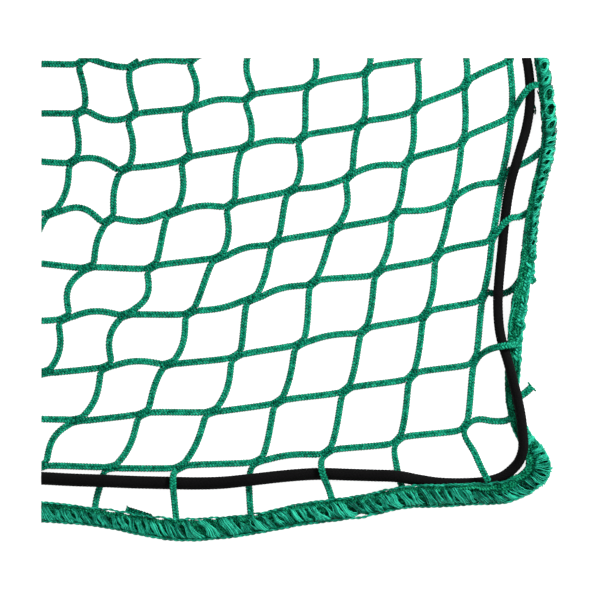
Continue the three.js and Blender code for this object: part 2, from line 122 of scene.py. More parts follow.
# Joints that lie off their course's curve: by course and column, how far to the right and up.
TUGS = {
    0: {3: (1.5, -0.5), 4: (-1, -0.5)},
    1: {4: (0.5, -0.5), 5: (0.5, 2), 6: (0.5, 0)},
    2: {4: (1, -0.5), 6: (0.5, 1.5)},
    3: {1: (0.5, -0.5), 2: (0.5, -0.5), 3: (-1, 2), 5: (1, -2), 6: (0.5, 0.5), 8: (0, -2.5)},
    4: {1: (1, -1.5), 3: (-0.5, 1), 4: (-0.5, 1.5), 5: (2, -0.5), 6: (0.5, -1), 7: (0, 1), 8: (0, 2.5)},
    5: {
        0: (-0.5, 1), 1: (0.5, -1.5), 2: (0, -1.5), 3: (-1, 0.5), 4: (-0.5, 1), 5: (-0.5, 0),
        6: (0.5, 0), 7: (-1, -2), 8: (0, 1.5),
    },
    6: {0: (0, 1), 2: (0, -1.5), 4: (-1, 0.5), 5: (1, 2), 6: (0.5, 0), 7: (-1.5, -3), 8: (0, 2)},
    7: {2: (0, 0.5), 3: (0.5, 0.5), 4: (0.5, 0.5), 5: (-0.5, 0.5), 7: (-0.5, -2), 9: (-2, -6)},
    8: {7: (-1, -1), 8: (-0.5, 0), 9: (-3, -9)},
}

# Joints that the elastic cord holds off the floor, and how high.
LIFTS = {1: {0: 1.2}, 3: {0: 6}}

# How far a bar's middle lies to the left of the straight line, seen along the bar.
BOWS_RIGHT = {
    0: {3: 1.5},
    2: {3: 1.5, 6: 2},
    3: {1: 0.5, 4: 2, 5: -1.5, 7: 2.5},
    4: {1: 2, 2: -1.5, 5: 2},
    5: {3: 2, 4: -1, 6: 2, 7: -3, 8: 5},
    6: {1: 0.5, 3: -0.5, 5: 1.5, 7: -0.5, 8: 2.5},
    7: {4: 0.5, 6: 2, 8: -2.5},
    8: {7: 1.5, 8: -1},
}
BOWS_UP = {
    0: {0: 0.5, 4: -2.5, 6: 2.5},
    1: {0: 0.5, 3: -0.5, 6: -0.5},
    2: {1: -0.5, 4: -1, 6: 2.5, 7: -1},
    3: {0: 0.5, 2: -1, 4: 1, 5: -1, 6: -2.5, 7: 3.5},
    4: {3: -2, 4: -1, 6: -1, 7: 3.5},
    5: {2: -0.5, 3: 1, 7: 0.5},
    6: {4: -1, 5: 0.5, 8: -2},
    7: {5: 1, 8: 1},
}

# Bars from the first course down to the bottom border, by column, and from the joints beside the
# right border out to it, by course: the places that they pass, over or under the elastic cord.
BOTTOM_BARS = {
    0: ((95.8, -84, 4.2), (99.8, -93, 9.2), (103.1, -99.1, 11)),
    1: ((53.5, -92, ON_FLOOR), (54.7, -98, 1.6), (57, -104, 2.2)),
    2: ((12.2, -90, 6.7), (13.2, -95.7, 8.9), (15.8, -102, 5.4), (18.4, -110, 3)),
    3: ((-27, -97.5, ON_FLOOR), (-26.8, -108, 1.6), (-26, -119, 3)),
    4: ((-68.2, -96, 7.1), (-68.4, -101.2, 8.8), (-67.7, -110, 5.2), (-66.6, -121, 3)),
    5: ((-107, -98, ON_FLOOR), (-110, -108, 1.6), (-111.5, -118, 3)),
}
SIDE_BARS = {
    0: ((98.5, -65.5, 1.5), (106, -66.5, 1.8), (113.5, -66, 2.4), (117, -63, 2.6)),
    1: ((104, -27.3, 8), (109.5, -25.8, 12.2), (113.5, -25.2, 12), (120, -24.5, 4)),
    2: ((104.5, 3.3, ON_FLOOR), (111.5, 3, 1.6), (116.5, 5.5, 2.4), (122, 13, 4)),
    3: ((112, 41.5, 8.4), (116, 44.2, 7.4), (120.5, 44.8, 4.4), (127.5, 49, 4)),
    4: ((117.5, 71.8, ON_FLOOR), (123, 74.2, 1.8), (127.5, 77, 2.8), (133, 81.5, 4)),
    5: ((121, 109.5, 6.6), (125.5, 115, 8.1), (129, 116.5, 7.2), (134, 116.5, 4)),
}

# The border band: the middle of the band, its width and height, and how far its inner edge is
# raised where it lies over the elastic cord.
BORDER_STATIONS = (
    (-150, -114.5, 11.5, 6, 0), (-140.5, -115.5, 11.2, 6, 0), (-110.5, -118.6, 9.8, 6, 0),
    (-68.5, -125.3, 12, 6, 0), (-43, -124.5, 12, 6, 0), (-21, -121.7, 11, 6, 0),
    (0.7, -117.2, 12, 6, 0), (31.7, -113, 12.2, 6, 0), (43, -110.8, 12.2, 6, 1.5),
    (53, -108.5, 12.2, 5.8, 4.2), (63, -107.2, 12.4, 5.6, 6.5), (78, -106.8, 12.4, 5.6, 6.5),
    (94.5, -106, 12, 5.6, 6.5), (104, -105.7, 12, 5.6, 6.5), (113, -104.5, 12.6, 5.6, 5),
    (123.1, -100.1, 13.9, 6, 0), (130, -92.7, 15.2, 6, 0), (128.6, -84.1, 11.2, 5, 0),
    (123.6, -76.7, 8.6, 4.6, 0), (119.5, -68.5, 8.6, 4.6, 0), (116.3, -55, 7.6, 4.6, 0),
    (116.2, -38.7, 8.8, 4.6, 0), (117.6, -19.6, 8.4, 5.6, 0), (119.8, -0.5, 8.1, 8.5, 0),
    (123.6, 17, 7.8, 9.5, 0), (125.8, 35, 8, 9.5, 0), (128.3, 52, 7.6, 9.5, 0),
    (131.2, 64, 7.8, 9.5, 0), (134.7, 78, 8.2, 9.5, 0), (136.1, 92, 8.4, 9.5, 0),
    (135.4, 103, 8.4, 9.5, 0), (134.3, 114, 8.3, 9.5, 0), (131.6, 131.3, 8, 9.5, 0),
    (130.1, 141, 8, 9.5, 0),
)

# Trimmed ends of strands that stick out of the border.
TRIMMED_ENDS = (
    ((117, -55, 2.4), (123.5, -51, 2.4), (126.8, -48, 2.2)),
    ((-80, -118.6, 4), (-87, -116.3, 4), (-93.4, -114.4, 3.6)),
    ((124, 14, 6), (126.4, 11.5, 6), (128, 9.4, 5.6)),
)

# The elastic cord's route, from the left cut to the top cut.
ELASTIC_ROUTE = (
    (-150, -97.3, 3.6), (-138, -97.7, 3.8), (-124, -98.4, 4.9), (-107.5, -98.9, 6.7),
    (-92, -99.6, 4.9), (-78, -100, 3.6), (-68.5, -100.2, 3.5), (-56, -100.4, 3.5),
    (-42, -100, 4.7), (-27.3, -98.5, 6.6), (-12, -96.8, 4.7), (2, -95.6, 3.5), (13, -95.2, 3.4),
    (26, -95.6, 3.8), (40, -96, 4.9), (53.5, -96.5, 6.7), (66, -98.8, 4), (77, -100.3, 3.2),
    (94.5, -100.3, 3), (104.5, -99, 3.1), (111.4, -96.5, 3.1), (116.6, -92.4, 3.9),
    (120, -88, 5.6), (122, -81.5, 7.6), (121.8, -74, 8.2), (120.9, -64.5, 8.2), (119, -54.5, 8.2),
    (116.3, -43.5, 8.2), (113.5, -33, 8), (111, -25, 6.9), (109.2, -16, 5), (108.4, -5, 5),
    (108.5, 3.5, 6.2), (109.5, 15.5, 4.2), (110.8, 28, 2.9), (112, 41, 2.8), (113.7, 54, 3.6),
    (115.9, 65.5, 5.2), (118.2, 73.5, 6.4), (120.8, 82, 4.4), (123.7, 92, 3), (125.6, 103, 2.8),
    (126, 114, 2.8), (125.1, 125, 2.8), (124, 131.3, 2.8), (122.6, 141, 2.8),
)

# How thick the elastic cord is, by the share of its way: it is stretched on the right.
ELASTIC_THICKNESS = (
    (0, 6.8), (0.15, 6.7), (0.25, 6.4), (0.4, 6.3), (0.5, 5.6), (0.56, 5.3), (0.66, 5.1), (1, 5),
)

net_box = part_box("netting")
SHIFT = np.array([net_box[0].x - CUT_LEFT * MM, net_box[1].y - CUT_TOP * MM, 0.0])


def place(points):
    return np.asarray(points) * MM + SHIFT


def left_of(along):
    """The level direction to the left of one direction, or of each row of many."""
    return np.stack([-along[..., 1], along[..., 0], np.zeros(along.shape[:-1])], axis=-1)


def unit(vectors):
    return vectors / np.maximum(np.linalg.norm(vectors, axis=-1, keepdims=True), 1e-9)


def travelled(points):
    steps = np.linalg.norm(np.diff(points, axis=0), axis=1)
    return np.concatenate([[0.0], np.cumsum(steps)])


# A smooth line is first worked out in shorter steps than asked for, by this share.
FINER = 0.4
FEWEST_STEPS = 4
FINE_STEP = 0.5


def smooth_line(places, step, space=3):
    """Rows every step along a smooth curve through places. Their first space columns are the place."""
    rows = np.asarray(places, float)
    rows = np.vstack([2 * rows[0] - rows[1], rows, 2 * rows[-1] - rows[-2]])
    spans = np.sqrt(np.linalg.norm(np.diff(rows[:, :space], axis=0), axis=1))[:, None]
    slopes = np.diff(rows, axis=0) / spans
    middle = (rows[2:] - rows[:-2]) / (spans[1:] + spans[:-1])
    turns = slopes[:-1] - middle + slopes[1:]
    found = []
    for i in range(len(rows) - 3):
        count = max(FEWEST_STEPS, math.ceil(float(spans[i + 1, 0]) ** 2 / (FINER * step)))
        t = np.linspace(0, 1, count, endpoint=False)[:, None]
        start, end = rows[i + 1], rows[i + 2]
        out, back = turns[i] * spans[i + 1], turns[i + 1] * spans[i + 1]
        found.append(
            start * (2 * t**3 - 3 * t**2 + 1)
            + out * (t**3 - 2 * t**2 + t)
            + end * (3 * t**2 - 2 * t**3)
            + back * (t**3 - t**2)
        )
    fine = np.vstack([*found, rows[-2:-1]])
    far = travelled(fine[:, :space])
    even = np.linspace(0, far[-1], max(2, round(far[-1] / step) + 1))
    return np.stack([np.interp(even, far, column) for column in fine.T], axis=1)


def frame_of(line):
    """Directions along, to the side of and above each point of a line that never stands upright."""
    along = unit(np.gradient(line, axis=0))
    side = unit(left_of(along))
    return along, side, np.cross(along, side)


def tube_faces(rings, sides):
    """Four-cornered faces of a closed tube with an even number of sides."""
    here = (np.arange(rings - 1)[:, None] * sides + np.arange(sides)).ravel()
    beside = (np.arange(rings - 1)[:, None] * sides + (np.arange(sides) + 1) % sides).ravel()
    walls = np.stack([here, beside, beside + sides, here + sides], axis=1)
    start = np.array([[0, k + 3, k + 2, k + 1] for k in range(0, sides - 2, 2)])
    end = start[:, ::-1] + (rings - 1) * sides
    return np.vstack([walls, start, end])


class Skein:
    """Many closed tubes that become one mesh."""

    def __init__(self, seed):
        self.points, self.faces, self.fibre, self.tone = [], [], [], []
        self.count = 0
        self.chance = np.random.default_rng(seed)

    def tube(self, line, normal, half_wide, half_high, tone=0.5, side_shade=0.0, sides=YARN_SIDES):
        """A closed tube of oval section. normal is where its flat side faces."""
        rings = len(line)
        along = unit(np.gradient(line, axis=0))
        side = unit(np.cross(normal, along))
        rise = np.cross(along, side)
        turn = (np.arange(sides) + 0.5) * 2 * np.pi / sides
        across = np.broadcast_to(half_wide, rings)[:, None] * np.cos(turn)
        upward = np.broadcast_to(half_high, rings)[:, None] * np.sin(turn)
        ring = line[:, None] + side[:, None] * across[..., None] + rise[:, None] * upward[..., None]
        ring[..., 2] = np.maximum(ring[..., 2], LOWEST)
        self.points.append(ring.reshape(-1, 3))
        self.faces.append(tube_faces(rings, sides) + self.count)
        far = travelled(line)[:, None] + self.chance.uniform(0, FIBRE_STARTS)
        parts = [np.broadcast_to(part, (rings, sides)) for part in (far, np.cos(turn), np.sin(turn))]
        self.fibre.append(np.stack(parts, axis=-1).reshape(-1, 3))
        # side_shade is painted shade: the tone darkens towards the tube's sides, where it meets its
        # neighbours.
        tones = np.broadcast_to(tone, rings)[:, None] - side_shade * np.cos(turn) ** 2
        self.tone.append(tones.ravel())
        self.count += rings * sides

    def plait(self, line, size, tone=PLAIT_TONE, period=PLAIT_PERIOD, wander=PLAIT_WANDER):
        """Three yarns plaited along a line. size scales the width at each of its points, and the turns
        wander by a share of a period."""
        _, side, rise = frame_of(line)
        far = travelled(line)
        uneven = wander * np.sin(far / WANDER_WAY + self.chance.uniform(*PHASES))
        turn = far / period + uneven + self.chance.uniform(0, 1)
        flat = np.sqrt(np.minimum(1, size))
        for yarn in range(3):
            angle = 2 * np.pi * (turn + yarn / 3)
            swing = PLAIT_SWING * size * np.sin(angle)
            climb = PLAIT_CLIMB * flat * np.sin(2 * angle)
            path = line + side * swing[:, None] + rise * climb[:, None]
            # Painted shade: the yarn is lighter where it climbs, darker where it dives and in joints.
            shade = CLIMB_SHADE * np.sin(2 * angle) - JOINT_SHADE * np.maximum(1 - size, 0)
            shade = shade + tone + self.chance.normal(0, YARN_TONE_SPREAD)
            half = YARN_HALF_WIDE * np.sqrt(size)
            self.tube(path, rise, half, YARN_HALF_HIGH * flat, shade, SIDE_SHADE)

    def piece(self, name, material, replaces):
        mesh = new_mesh(name, np.vstack(self.points), np.vstack(self.faces))
        fibre = mesh.attributes.new("fibre", "FLOAT_VECTOR", "POINT")
        fibre.data.foreach_set("vector", np.vstack(self.fibre).astype(np.float32).ravel())
        tone = mesh.attributes.new("tone", "FLOAT", "POINT")
        tone.data.foreach_set("value", np.concatenate(self.tone).astype(np.float32))
        return finished(name, mesh, material, replaces)


def new_mesh(name, points, faces):
    mesh = bpy.data.meshes.new(name)
    mesh.from_pydata(place(points).tolist(), [], faces.tolist())
    return mesh


def add_object(name, data):
    made = bpy.data.objects.new(name, data)
    bpy.context.scene.collection.objects.link(made)
    return made


def cut_straight(mesh):
    """Cuts the mesh along the two straight cuts of the net, and closes the yarns' ends."""
    low_x = CUT_LEFT * MM + SHIFT[0]
    high_y = CUT_TOP * MM + SHIFT[1]
    shape = bmesh.new()
    shape.from_mesh(mesh)
    for point, outward in (((low_x, 0, 0), (-1, 0, 0)), ((0, high_y, 0), (0, 1, 0))):
        geometry = [*shape.verts, *shape.edges, *shape.faces]
        bmesh.ops.bisect_plane(
            shape, geom=geometry, dist=1e-8, plane_co=point, plane_no=outward, clear_outer=True
        )
    rims = [edge for edge in shape.edges if edge.is_boundary]
    bmesh.ops.holes_fill(shape, edges=rims, sides=0)
    shape.to_mesh(mesh)
    shape.free()


def finished(name, mesh, material, replaces):
    cut_straight(mesh)
    mesh.shade_smooth()
    mesh.materials.append(material)
    made = add_object(name, mesh)
    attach(made, "root")
    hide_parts(replaces)
    return made


# The net's layout.


def listed(table, course, column, otherwise):
    return table.get(course, {}).get(column, otherwise)


def joint_middle(course, column):
    middle = np.array([0.0, 0.0, ON_FLOOR])
    for station, at in zip(COURSES[course], COURSE_COLUMNS):
        others = [other for other in COURSE_COLUMNS if other != at]
        middle[:2] += math.prod((column - other) / (at - other) for other in others) * np.array(station)
    middle[:2] += listed(TUGS, course, column, (0, 0))
    middle[2] += listed(LIFTS, course, column, 0)
    return middle


def joint_direction(course, column):
    """Joints lie more upright towards the right border and higher up, and every other is steeper."""
    across = MIDDLE_COLUMN - column
    in_even_net = min(max((column - EVEN_NET_COLUMNS + 1) / 2, 0), 1)
    turn = EVERY_OTHER if (course + column) % 2 == 0 else -EVERY_OTHER
    degrees = STEEPNESS + PER_COLUMN * across + PER_COLUMN_SQUARED * across**2
    degrees += PER_COURSE * (course - MIDDLE_COURSE) + turn * in_even_net
    return np.array([math.cos(math.radians(degrees)), math.sin(math.radians(degrees)), 0.0])


def chain_in_joint(course, column, is_upper):
    """Where a chain enters and leaves a joint, beside the other one."""
    along = joint_direction(course, column)
    side = left_of(along) * (JOINT_OFFSET if is_upper else -JOINT_OFFSET)
    middle = joint_middle(course, column) + side
    return middle - along * JOINT_LENGTH / 2, middle + along * JOINT_LENGTH / 2, along


def bow_of(course, column, goes_up):
    if not goes_up:
        return listed(BOWS_RIGHT, course, column, 0)
    in_even_net = min(max(column - EVEN_NET_COLUMNS, 0), 1)
    bow = UPRIGHT_BOW if (course + column) % 2 == 0 else -UPRIGHT_BOW
    return listed(BOWS_UP, course, column, 0) + UPRIGHT_LEAN + bow * in_even_net


def bar_between(start, end, bow):
    """The places between two joints: a curve that leaves and arrives along the joints."""
    span = end[0] - start[1]
    pull = np.linalg.norm(span) * CORNER_PULL
    side = unit(left_of(span))
    places = []
    for i in range(1, BAR_STEPS):
        t = i / BAR_STEPS
        spot = start[1] + span * t * t * (3 - 2 * t)
        spot = spot + start[2] * pull * t * (1 - t) ** 2 - end[2] * pull * t * t * (1 - t)
        spot = spot + side * bow * math.sin(math.pi * t) ** 2
        places.append((*spot, 1.0))
    return places


def chain_places(course, column, start_places, is_upper):
    """A chain climbs the net like a staircase: to the right along a course, then up to the next."""
    places = [(*spot, 1.0) for spot in start_places]
    while True:
        here = chain_in_joint(course, column, is_upper)
        places += [(*here[0], JOINT_NARROWING), (*here[1], JOINT_NARROWING)]
        above = (course + 1, column) if is_upper else (course, column - 1)
        if above[0] == len(COURSES):
            return places
        if above[1] < 0:
            return places + [(*spot, 1.0) for spot in SIDE_BARS.get(course, ())]
        there = chain_in_joint(*above, not is_upper)
        places += bar_between(here, there, bow_of(course, column, is_upper))
        course, column = above
        is_upper = not is_upper


# The fewest points of a stretch that is kept.
SHORTEST_RUN = 7


def inside_runs(line):
    """The stretches of a line that lie inside the two cuts, with a little left over."""
    kept = (line[:, 0] > CUT_LEFT - CUT_MARGIN) & (line[:, 1] < CUT_TOP + CUT_MARGIN)
    edges = np.flatnonzero(np.diff(np.concatenate([[0], kept.astype(int), [0]])))
    return [line[a:b] for a, b in zip(edges[::2], edges[1::2]) if b - a >= SHORTEST_RUN]


def rising_chains(columns):
    for column in columns:
        start = BOTTOM_BARS.get(column, ())[::-1]
        yield chain_places(0, column, start, False)


def left_chains():
    for course in range(len(COURSES)):
        yield chain_places(course, LAST_COLUMN, (), True)


# Where the net's yarn is darker: round which place, within what reach, by how much, and how sharply that
# ends. One bar is nearly black under the elastic cord, and the upper left corner is a little darker,
# painted shade where the light falls off.
DARK_SPOTS = (((109.5, 3.5), 7, 0.6, 4), ((-140, 131), 90, 0.16, 2))


def plait_chains(skein, chains):
    for places in chains:
        for line in inside_runs(smooth_line(places, PLAIT_STEP)):
            tone = PLAIT_TONE
            # Each spot darkens the yarn; the one at the upper left corner is painted shade.
            for middle, reach, depth, sharpness in DARK_SPOTS:
                off = np.linalg.norm(line[:, :2] - np.array(middle), axis=1) / reach
                tone = tone - depth * np.exp(-(off**sharpness))
            skein.plait(line[:, :3], line[:, 3], tone)


# Stitches that bind the two chains of a joint: a thread wound round their inner halves.
BINDING_PITCH = 2.3
BINDING_REACH = 0.42 * JOINT_LENGTH
BINDING_HALF_WIDE = 1.25
BINDING_HALF_HIGH = 1.02
BINDING_YARN = 0.38
BINDING_FLATNESS = 1.4
BINDING_TONE = 0.46
BINDING_POINTS_A_TURN = 12


def bind_joints(skein):
    up = np.array([0, 0, 1.0])
    turns = 2 * BINDING_REACH / BINDING_PITCH
    t = np.linspace(0, 1, round(turns * BINDING_POINTS_A_TURN) + 1)[:, None]
    for course in range(len(COURSES)):
        for column in range(LAST_COLUMN + 1):
            middle = joint_middle(course, column)
            if middle[0] < CUT_LEFT - JOINT_LENGTH or middle[1] > CUT_TOP + JOINT_LENGTH:
                continue
            along = joint_direction(course, column)
            side = left_of(along)
            angle = 2 * np.pi * (turns * t + skein.chance.uniform(0, 1))
            outward = side * np.cos(angle) + up * np.sin(angle)
            line = middle + along * BINDING_REACH * (2 * t - 1)
            line = line + side * BINDING_HALF_WIDE * np.cos(angle)
            line = line + up * BINDING_HALF_HIGH * np.sin(angle)
            half_wide = BINDING_YARN * BINDING_FLATNESS
            skein.tube(line, outward, half_wide, BINDING_YARN, BINDING_TONE, SIDE_SHADE)


# The border band.


# The band turns where its middle line lies furthest to the right, seen with this tilt.
TURN_TILT = 0.3


class Band:
    """The border's course: places on it by how far along, how far across and how high."""

    def __init__(self):
        rows = smooth_line(BORDER_STATIONS, FINE_STEP, space=2)
        self.far = travelled(rows[:, :2])
        self.rows = rows
        ahead = unit(np.gradient(rows[:, :2], axis=0))
        self.side = np.stack([-ahead[:, 1], ahead[:, 0]], axis=1)
        self.length = self.far[-1]
        self.turn = int(np.argmax(rows[:, 0] - TURN_TILT * rows[:, 1]))

    def at(self, far, column):
        return np.interp(far, self.far, self.rows[:, column])

    def section(self, far):
        """The band's width, its height, and how far its inner edge is raised."""
        return self.at(far, 2), self.at(far, 3), np.maximum(self.at(far, 4), 0)

    def inward(self, far):
        return np.interp(far, self.far, self.side[:, 0]), np.interp(far, self.far, self.side[:, 1])

    def spot(self, far, across, up):
        """across is 1 at the inner edge and -1 at the outer one, up is 1 on top and -1 beneath."""
        far, across, up = np.broadcast_arrays(far, across, up)
        wide, tall, raised = self.section(far)
        side_x, side_y = self.inward(far)
        x = self.at(far, 0) + side_x * across * wide / 2
        y = self.at(far, 1) + side_y * across * wide / 2
        z = tall / 2 * (1 + up) + raised * (0.5 + across / 2)
        return np.stack([x, y, z], axis=-1)

    def outward(self, far, across, up):
        """The direction away from the band's middle line."""
        wide, tall, _ = self.section(far)
        side_x, side_y = self.inward(far)
        out = across / wide
        return unit(np.stack([side_x * out, side_y * out, up / tall], axis=-1))

    def above(self, far):
        """The direction in which the band's top faces."""
        wide, _, raised = self.section(far)
        slope = raised / wide
        side_x, side_y = self.inward(far)
        return unit(np.stack([-side_x * slope, -side_y * slope, np.ones_like(slope)], axis=-1))

    def nearest(self, x, y):
        """How far along and how far across the band a place lies."""
        spot = np.array([x, y])
        row = int(np.argmin(np.linalg.norm(self.rows[:, :2] - spot, axis=1)))
        across = (spot - self.rows[row, :2]) @ self.side[row] / (self.rows[row, 2] / 2)
        return float(self.far[row]), float(across)

    def far_at_x(self, x):
        """How far along the band's bottom stretch lies at x."""
        return float(np.interp(x, self.rows[: self.turn, 0], self.far[: self.turn]))

    def far_at_y(self, y):
        """How far along the band's right stretch lies at y."""
        ys = np.maximum.accumulate(self.rows[self.turn :, 1])
        return float(np.interp(y, ys, self.far[self.turn :]))


band = Band()


def band_runs(far, across, up, *values, step):
    """Rows every step along the band inside the cuts: the place, then what each value comes to."""
    rows = np.column_stack([band.spot(far, across, up), *values])
    return inside_runs(smooth_line(rows, step))


# Little holes beside the border's bottom rims: where along x, how long, and how deep as a share of
# half the border's width.
INNER_HOLES = (
    (-127.8, 1.5, 0.18), (-103.5, 4.4, 0.26), (-94.5, 2.5, 0.22), (-76.4, 6, 0.18), (-59.5, 2, 0.11),
    (-52.8, 2.4, 0.11), (-45.8, 1.5, 0.11), (-22.9, 1.5, 0.11), (48.3, 1.5, 0.11), (63.9, 1.2, 0.11),
    (108, 1.5, 0.11), (114, 1.2, 0.11),
)
OUTER_HOLES = ((33.2, 6, 0.2),)
HOLE_EDGE = 1


def hole_depth(far, holes):
    """How far the band draws back from its rim at far, as a share of half its width."""
    drawn = np.zeros(np.shape(far))
    for x, length, depth in holes:
        off = (far - band.far_at_x(x)) / (0.5 * length + HOLE_EDGE)
        drawn = np.maximum(drawn, depth * np.clip(1 - off**2, 0, 1))
    return drawn


# Wraps go round the band side by side, and part in slits. A slit has its place along the band, its
# middle and half length as shares of the way from the wraps' inner side to the outer rim, its width,
# how far along the wraps move on their way over, the width of the openings at the inner side and at
# the outer rim, and how pointed its ends are.
Slit = namedtuple("Slit", "far middle reach width slant throat nook pointed")
ROUND = 0.5
POINTED = 1.0

# How far in the wraps reach, by place along the band. The net's gathered edge shows beside them.
LEFT_END = band.far_at_x(-84)
LOOSE_START = band.far_at_x(-74)
FAN_START = band.far_at_x(104)
WRAPS_END = band.far_at_y(-66)
CHAIN_START = band.far_at_y(-36)
CHAIN_END = band.far_at_y(27)
WRAP_REACH_PLACES = (
    LEFT_END, LOOSE_START, band.far_at_x(90), FAN_START, FAN_START + 12, WRAPS_END, CHAIN_END,
    band.far_at_y(45), band.far_at_y(75), band.length,
)
WRAP_REACH = (0.5, 0.82, 0.6, 0.2, 0.1, 0.2, -0.05, 0.05, 0.4, 0.45)

# How wraps lie: the distance from fibre to fibre, the tones and the heights of narrow and of broad bundles,
# how much the tone varies from fibre to fibre, how unevenly far in they start, how much further out they
# lie beside a slit than between two, and how much lighter they are there, a painted highlight; how far they
# draw in before the outer rim, where on their way their painted highlight is brightest (halfway at 1,
# further out below it), and how much lighter a bundle is painted on its near side than in its middle, as if
# lit from that side.
Style = namedtuple("Style", "pitch tones lifts spread unevenness puff tuck crest lean", defaults=[0.0])
BOTTOM_STYLE = Style(0.56, (0.42, 0.66), (0.78, 0.92), 0.22, 0.16, 0.0, 0.16, 0.92)
LEFT_STYLE = Style(0.42, (0.64, 0.68), (0.8, 0.9), 0.11, 0.12, 0.0, 0.14, 0.8, 0.2)
TURN_STYLE = Style(0.5, (0.42, 0.64), (0.82, 0.92), 0.24, 0.16, 0.0, 0.1, 0.8)
CORNER_STYLE = Style(0.4, (0.6, 0.78), (0.87, 0.91), 0.16, 0.12, 0.0, 0.0, 0.7)
RIGHT_STYLE = Style(0.6, (0.38, 0.7), (0.78, 0.92), 0.18, 0.05, 0.22, 0.0, 1.0)

# What is random about slits: how far they slant, and how wide they open at the wraps' inner side and
# at the outer rim. The openings narrow up to THROAT_DEPTH and widen from NOOK_START on, as shares of
# the way over.
Manner = namedtuple("Manner", "slants throats nooks")
LEFT_MANNER = Manner((4, 6.5), (0.6, 1.6), (0, 0))
BOTTOM_MANNER = Manner((5, 8.5), (2, 4.4), (0.8, 3))
CORNER_MANNER = Manner((5, 8.5), (0.6, 1.6), (0, 0))
THROAT_DEPTH = 0.5
NOOK_START = 0.62

# Slits of the bottom's left end, of its middle, and from its right end round the corner: a slit's
# middle, its length and its width.
LEFT_SLITS = (
    (-143.5, -116, 3, 1), (-134.2, -115.6, 4.6, 1.3), (-128.2, -118.8, 2.4, 1),
    (-122.9, -117.7, 3.8, 1.2), (-118, -119.8, 3, 1.4), (-113.2, -118.5, 3.6, 1.4),
    (-108.4, -121, 3.4, 1.4), (-103, -119.9, 4.4, 1.5), (-97.6, -122.4, 1.6, 1.4),
    (-93.6, -120.8, 3.4, 1.3), (-88.4, -124.2, 4.4, 1.2), (-84.2, -123.6, 3.4, 1),
    (-79.8, -125.8, 4.2, 1.3),
)
MIDDLE_SLITS = (
    (-75.4, -126.2, 4.6, 1), (-72.2, -126, 4.6, 1.1), (-69, -122.4, 3.6, 1.1), (-62.8, -125.8, 6, 1.7),
    (-53.8, -125.4, 7, 4), (-46.8, -122.8, 3.6, 1.1), (-41.4, -126, 5.6, 2.6),
    (-33.4, -122.8, 6.6, 1.7), (-29, -121, 3.6, 2.5), (-25.4, -121.6, 6, 1.1), (-21.2, -120, 3, 1.9),
    (-14.8, -119.8, 7, 1.2), (-9.6, -120, 2.4, 2.1), (-3, -119.4, 4, 1), (1, -118.4, 5, 1.5),
    (6.6, -118.2, 4, 3), (13.6, -115.4, 5.6, 2.6), (17.4, -114, 4, 1), (24, -115.2, 4, 1),
    (29, -114.2, 5, 2.5), (33.6, -112.8, 3, 1.1), (39, -112.4, 5.4, 1.3), (43.4, -110.6, 4, 2),
    (50, -112.4, 4.4, 1.2), (56, -109.8, 5, 2.5), (60.8, -107.4, 4, 1.4), (67, -108.4, 5, 2.2),
    (73.6, -108, 4, 0.9), (78.4, -107.6, 4.6, 1.1),
)
CORNER_SLITS = (
    (82.8, -106, 4.6, 1.3), (86.3, -109, 4.4, 1.4), (90.3, -106, 4, 1.3), (96.2, -109, 2.8, 1.4),
    (100.7, -105.6, 3.6, 1.3), (105.2, -107, 4.4, 1), (108.6, -103.8, 2.8, 1.6),
    (112.4, -105.4, 3.8, 0.9), (117.2, -106, 3.4, 1), (120.8, -106, 2.4, 0.8), (123.6, -103.2, 2.4, 1),
    (127, -102.6, 2, 0.6), (130, -101, 2.6, 1.2), (132.4, -95.6, 4, 1), (131.3, -93.4, 5.2, 0.6),
    (132.8, -89, 4.8, 1), (132, -86.8, 3, 0.3), (131.3, -84.4, 4.6, 1.1), (128.4, -79.2, 3.2, 3),
    (124.6, -73.4, 2, 0.8), (121.6, -68.6, 2, 0.8),
)
# Round the corner slits stop slanting. As fibres reach into slits, these are made longer and wider
# than the tables say.
FAN_SLANTS = (-0.5, 1)
SLANT_UNTIL = 117
FAN_LENGTH = 14
LENGTHENING = 1.6
WIDENING = 1.3
MIDDLE_LIMITS = (0.2, 0.8)
# From this slit on the wraps are light.
TURN_SLITS = 12

# Slits between the wraps of the right border: where along y, how far across, and how far the slit
# stretches across and along the band.
RIGHT_SLITS = (
    (26, 0.45, 1.6, 1.8), (31, 0.45, 1.8, 3.2), (36, 0.7, 1.5, 3.4), (40.5, 0.4, 2.2, 3),
    (45, 0.62, 1.4, 1.3), (49, 0.3, 2.4, 2.8), (55, 0.5, 2.4, 4.4), (60.3, 0.45, 2.2, 1.8),
    (65.3, 0.35, 2.2, 2.4), (69.6, 0.55, 3, 3.2), (74.6, 0.4, 2.6, 2.4), (79.8, 0.4, 2.2, 3.2),
    (85.3, 0.5, 3.2, 1.3), (89.8, 0.65, 2.4, 2.4), (94.6, 0.5, 3.8, 3.4), (103, 0.5, 3.9, 5.6),
    (111, 0.5, 3.8, 5.8), (119.4, 0.45, 3.4, 2.4), (126.6, 0.45, 3.6, 4), (134, 0.5, 3.4, 3.4),
)
RIGHT_SLANT = (2.5, 4.5)

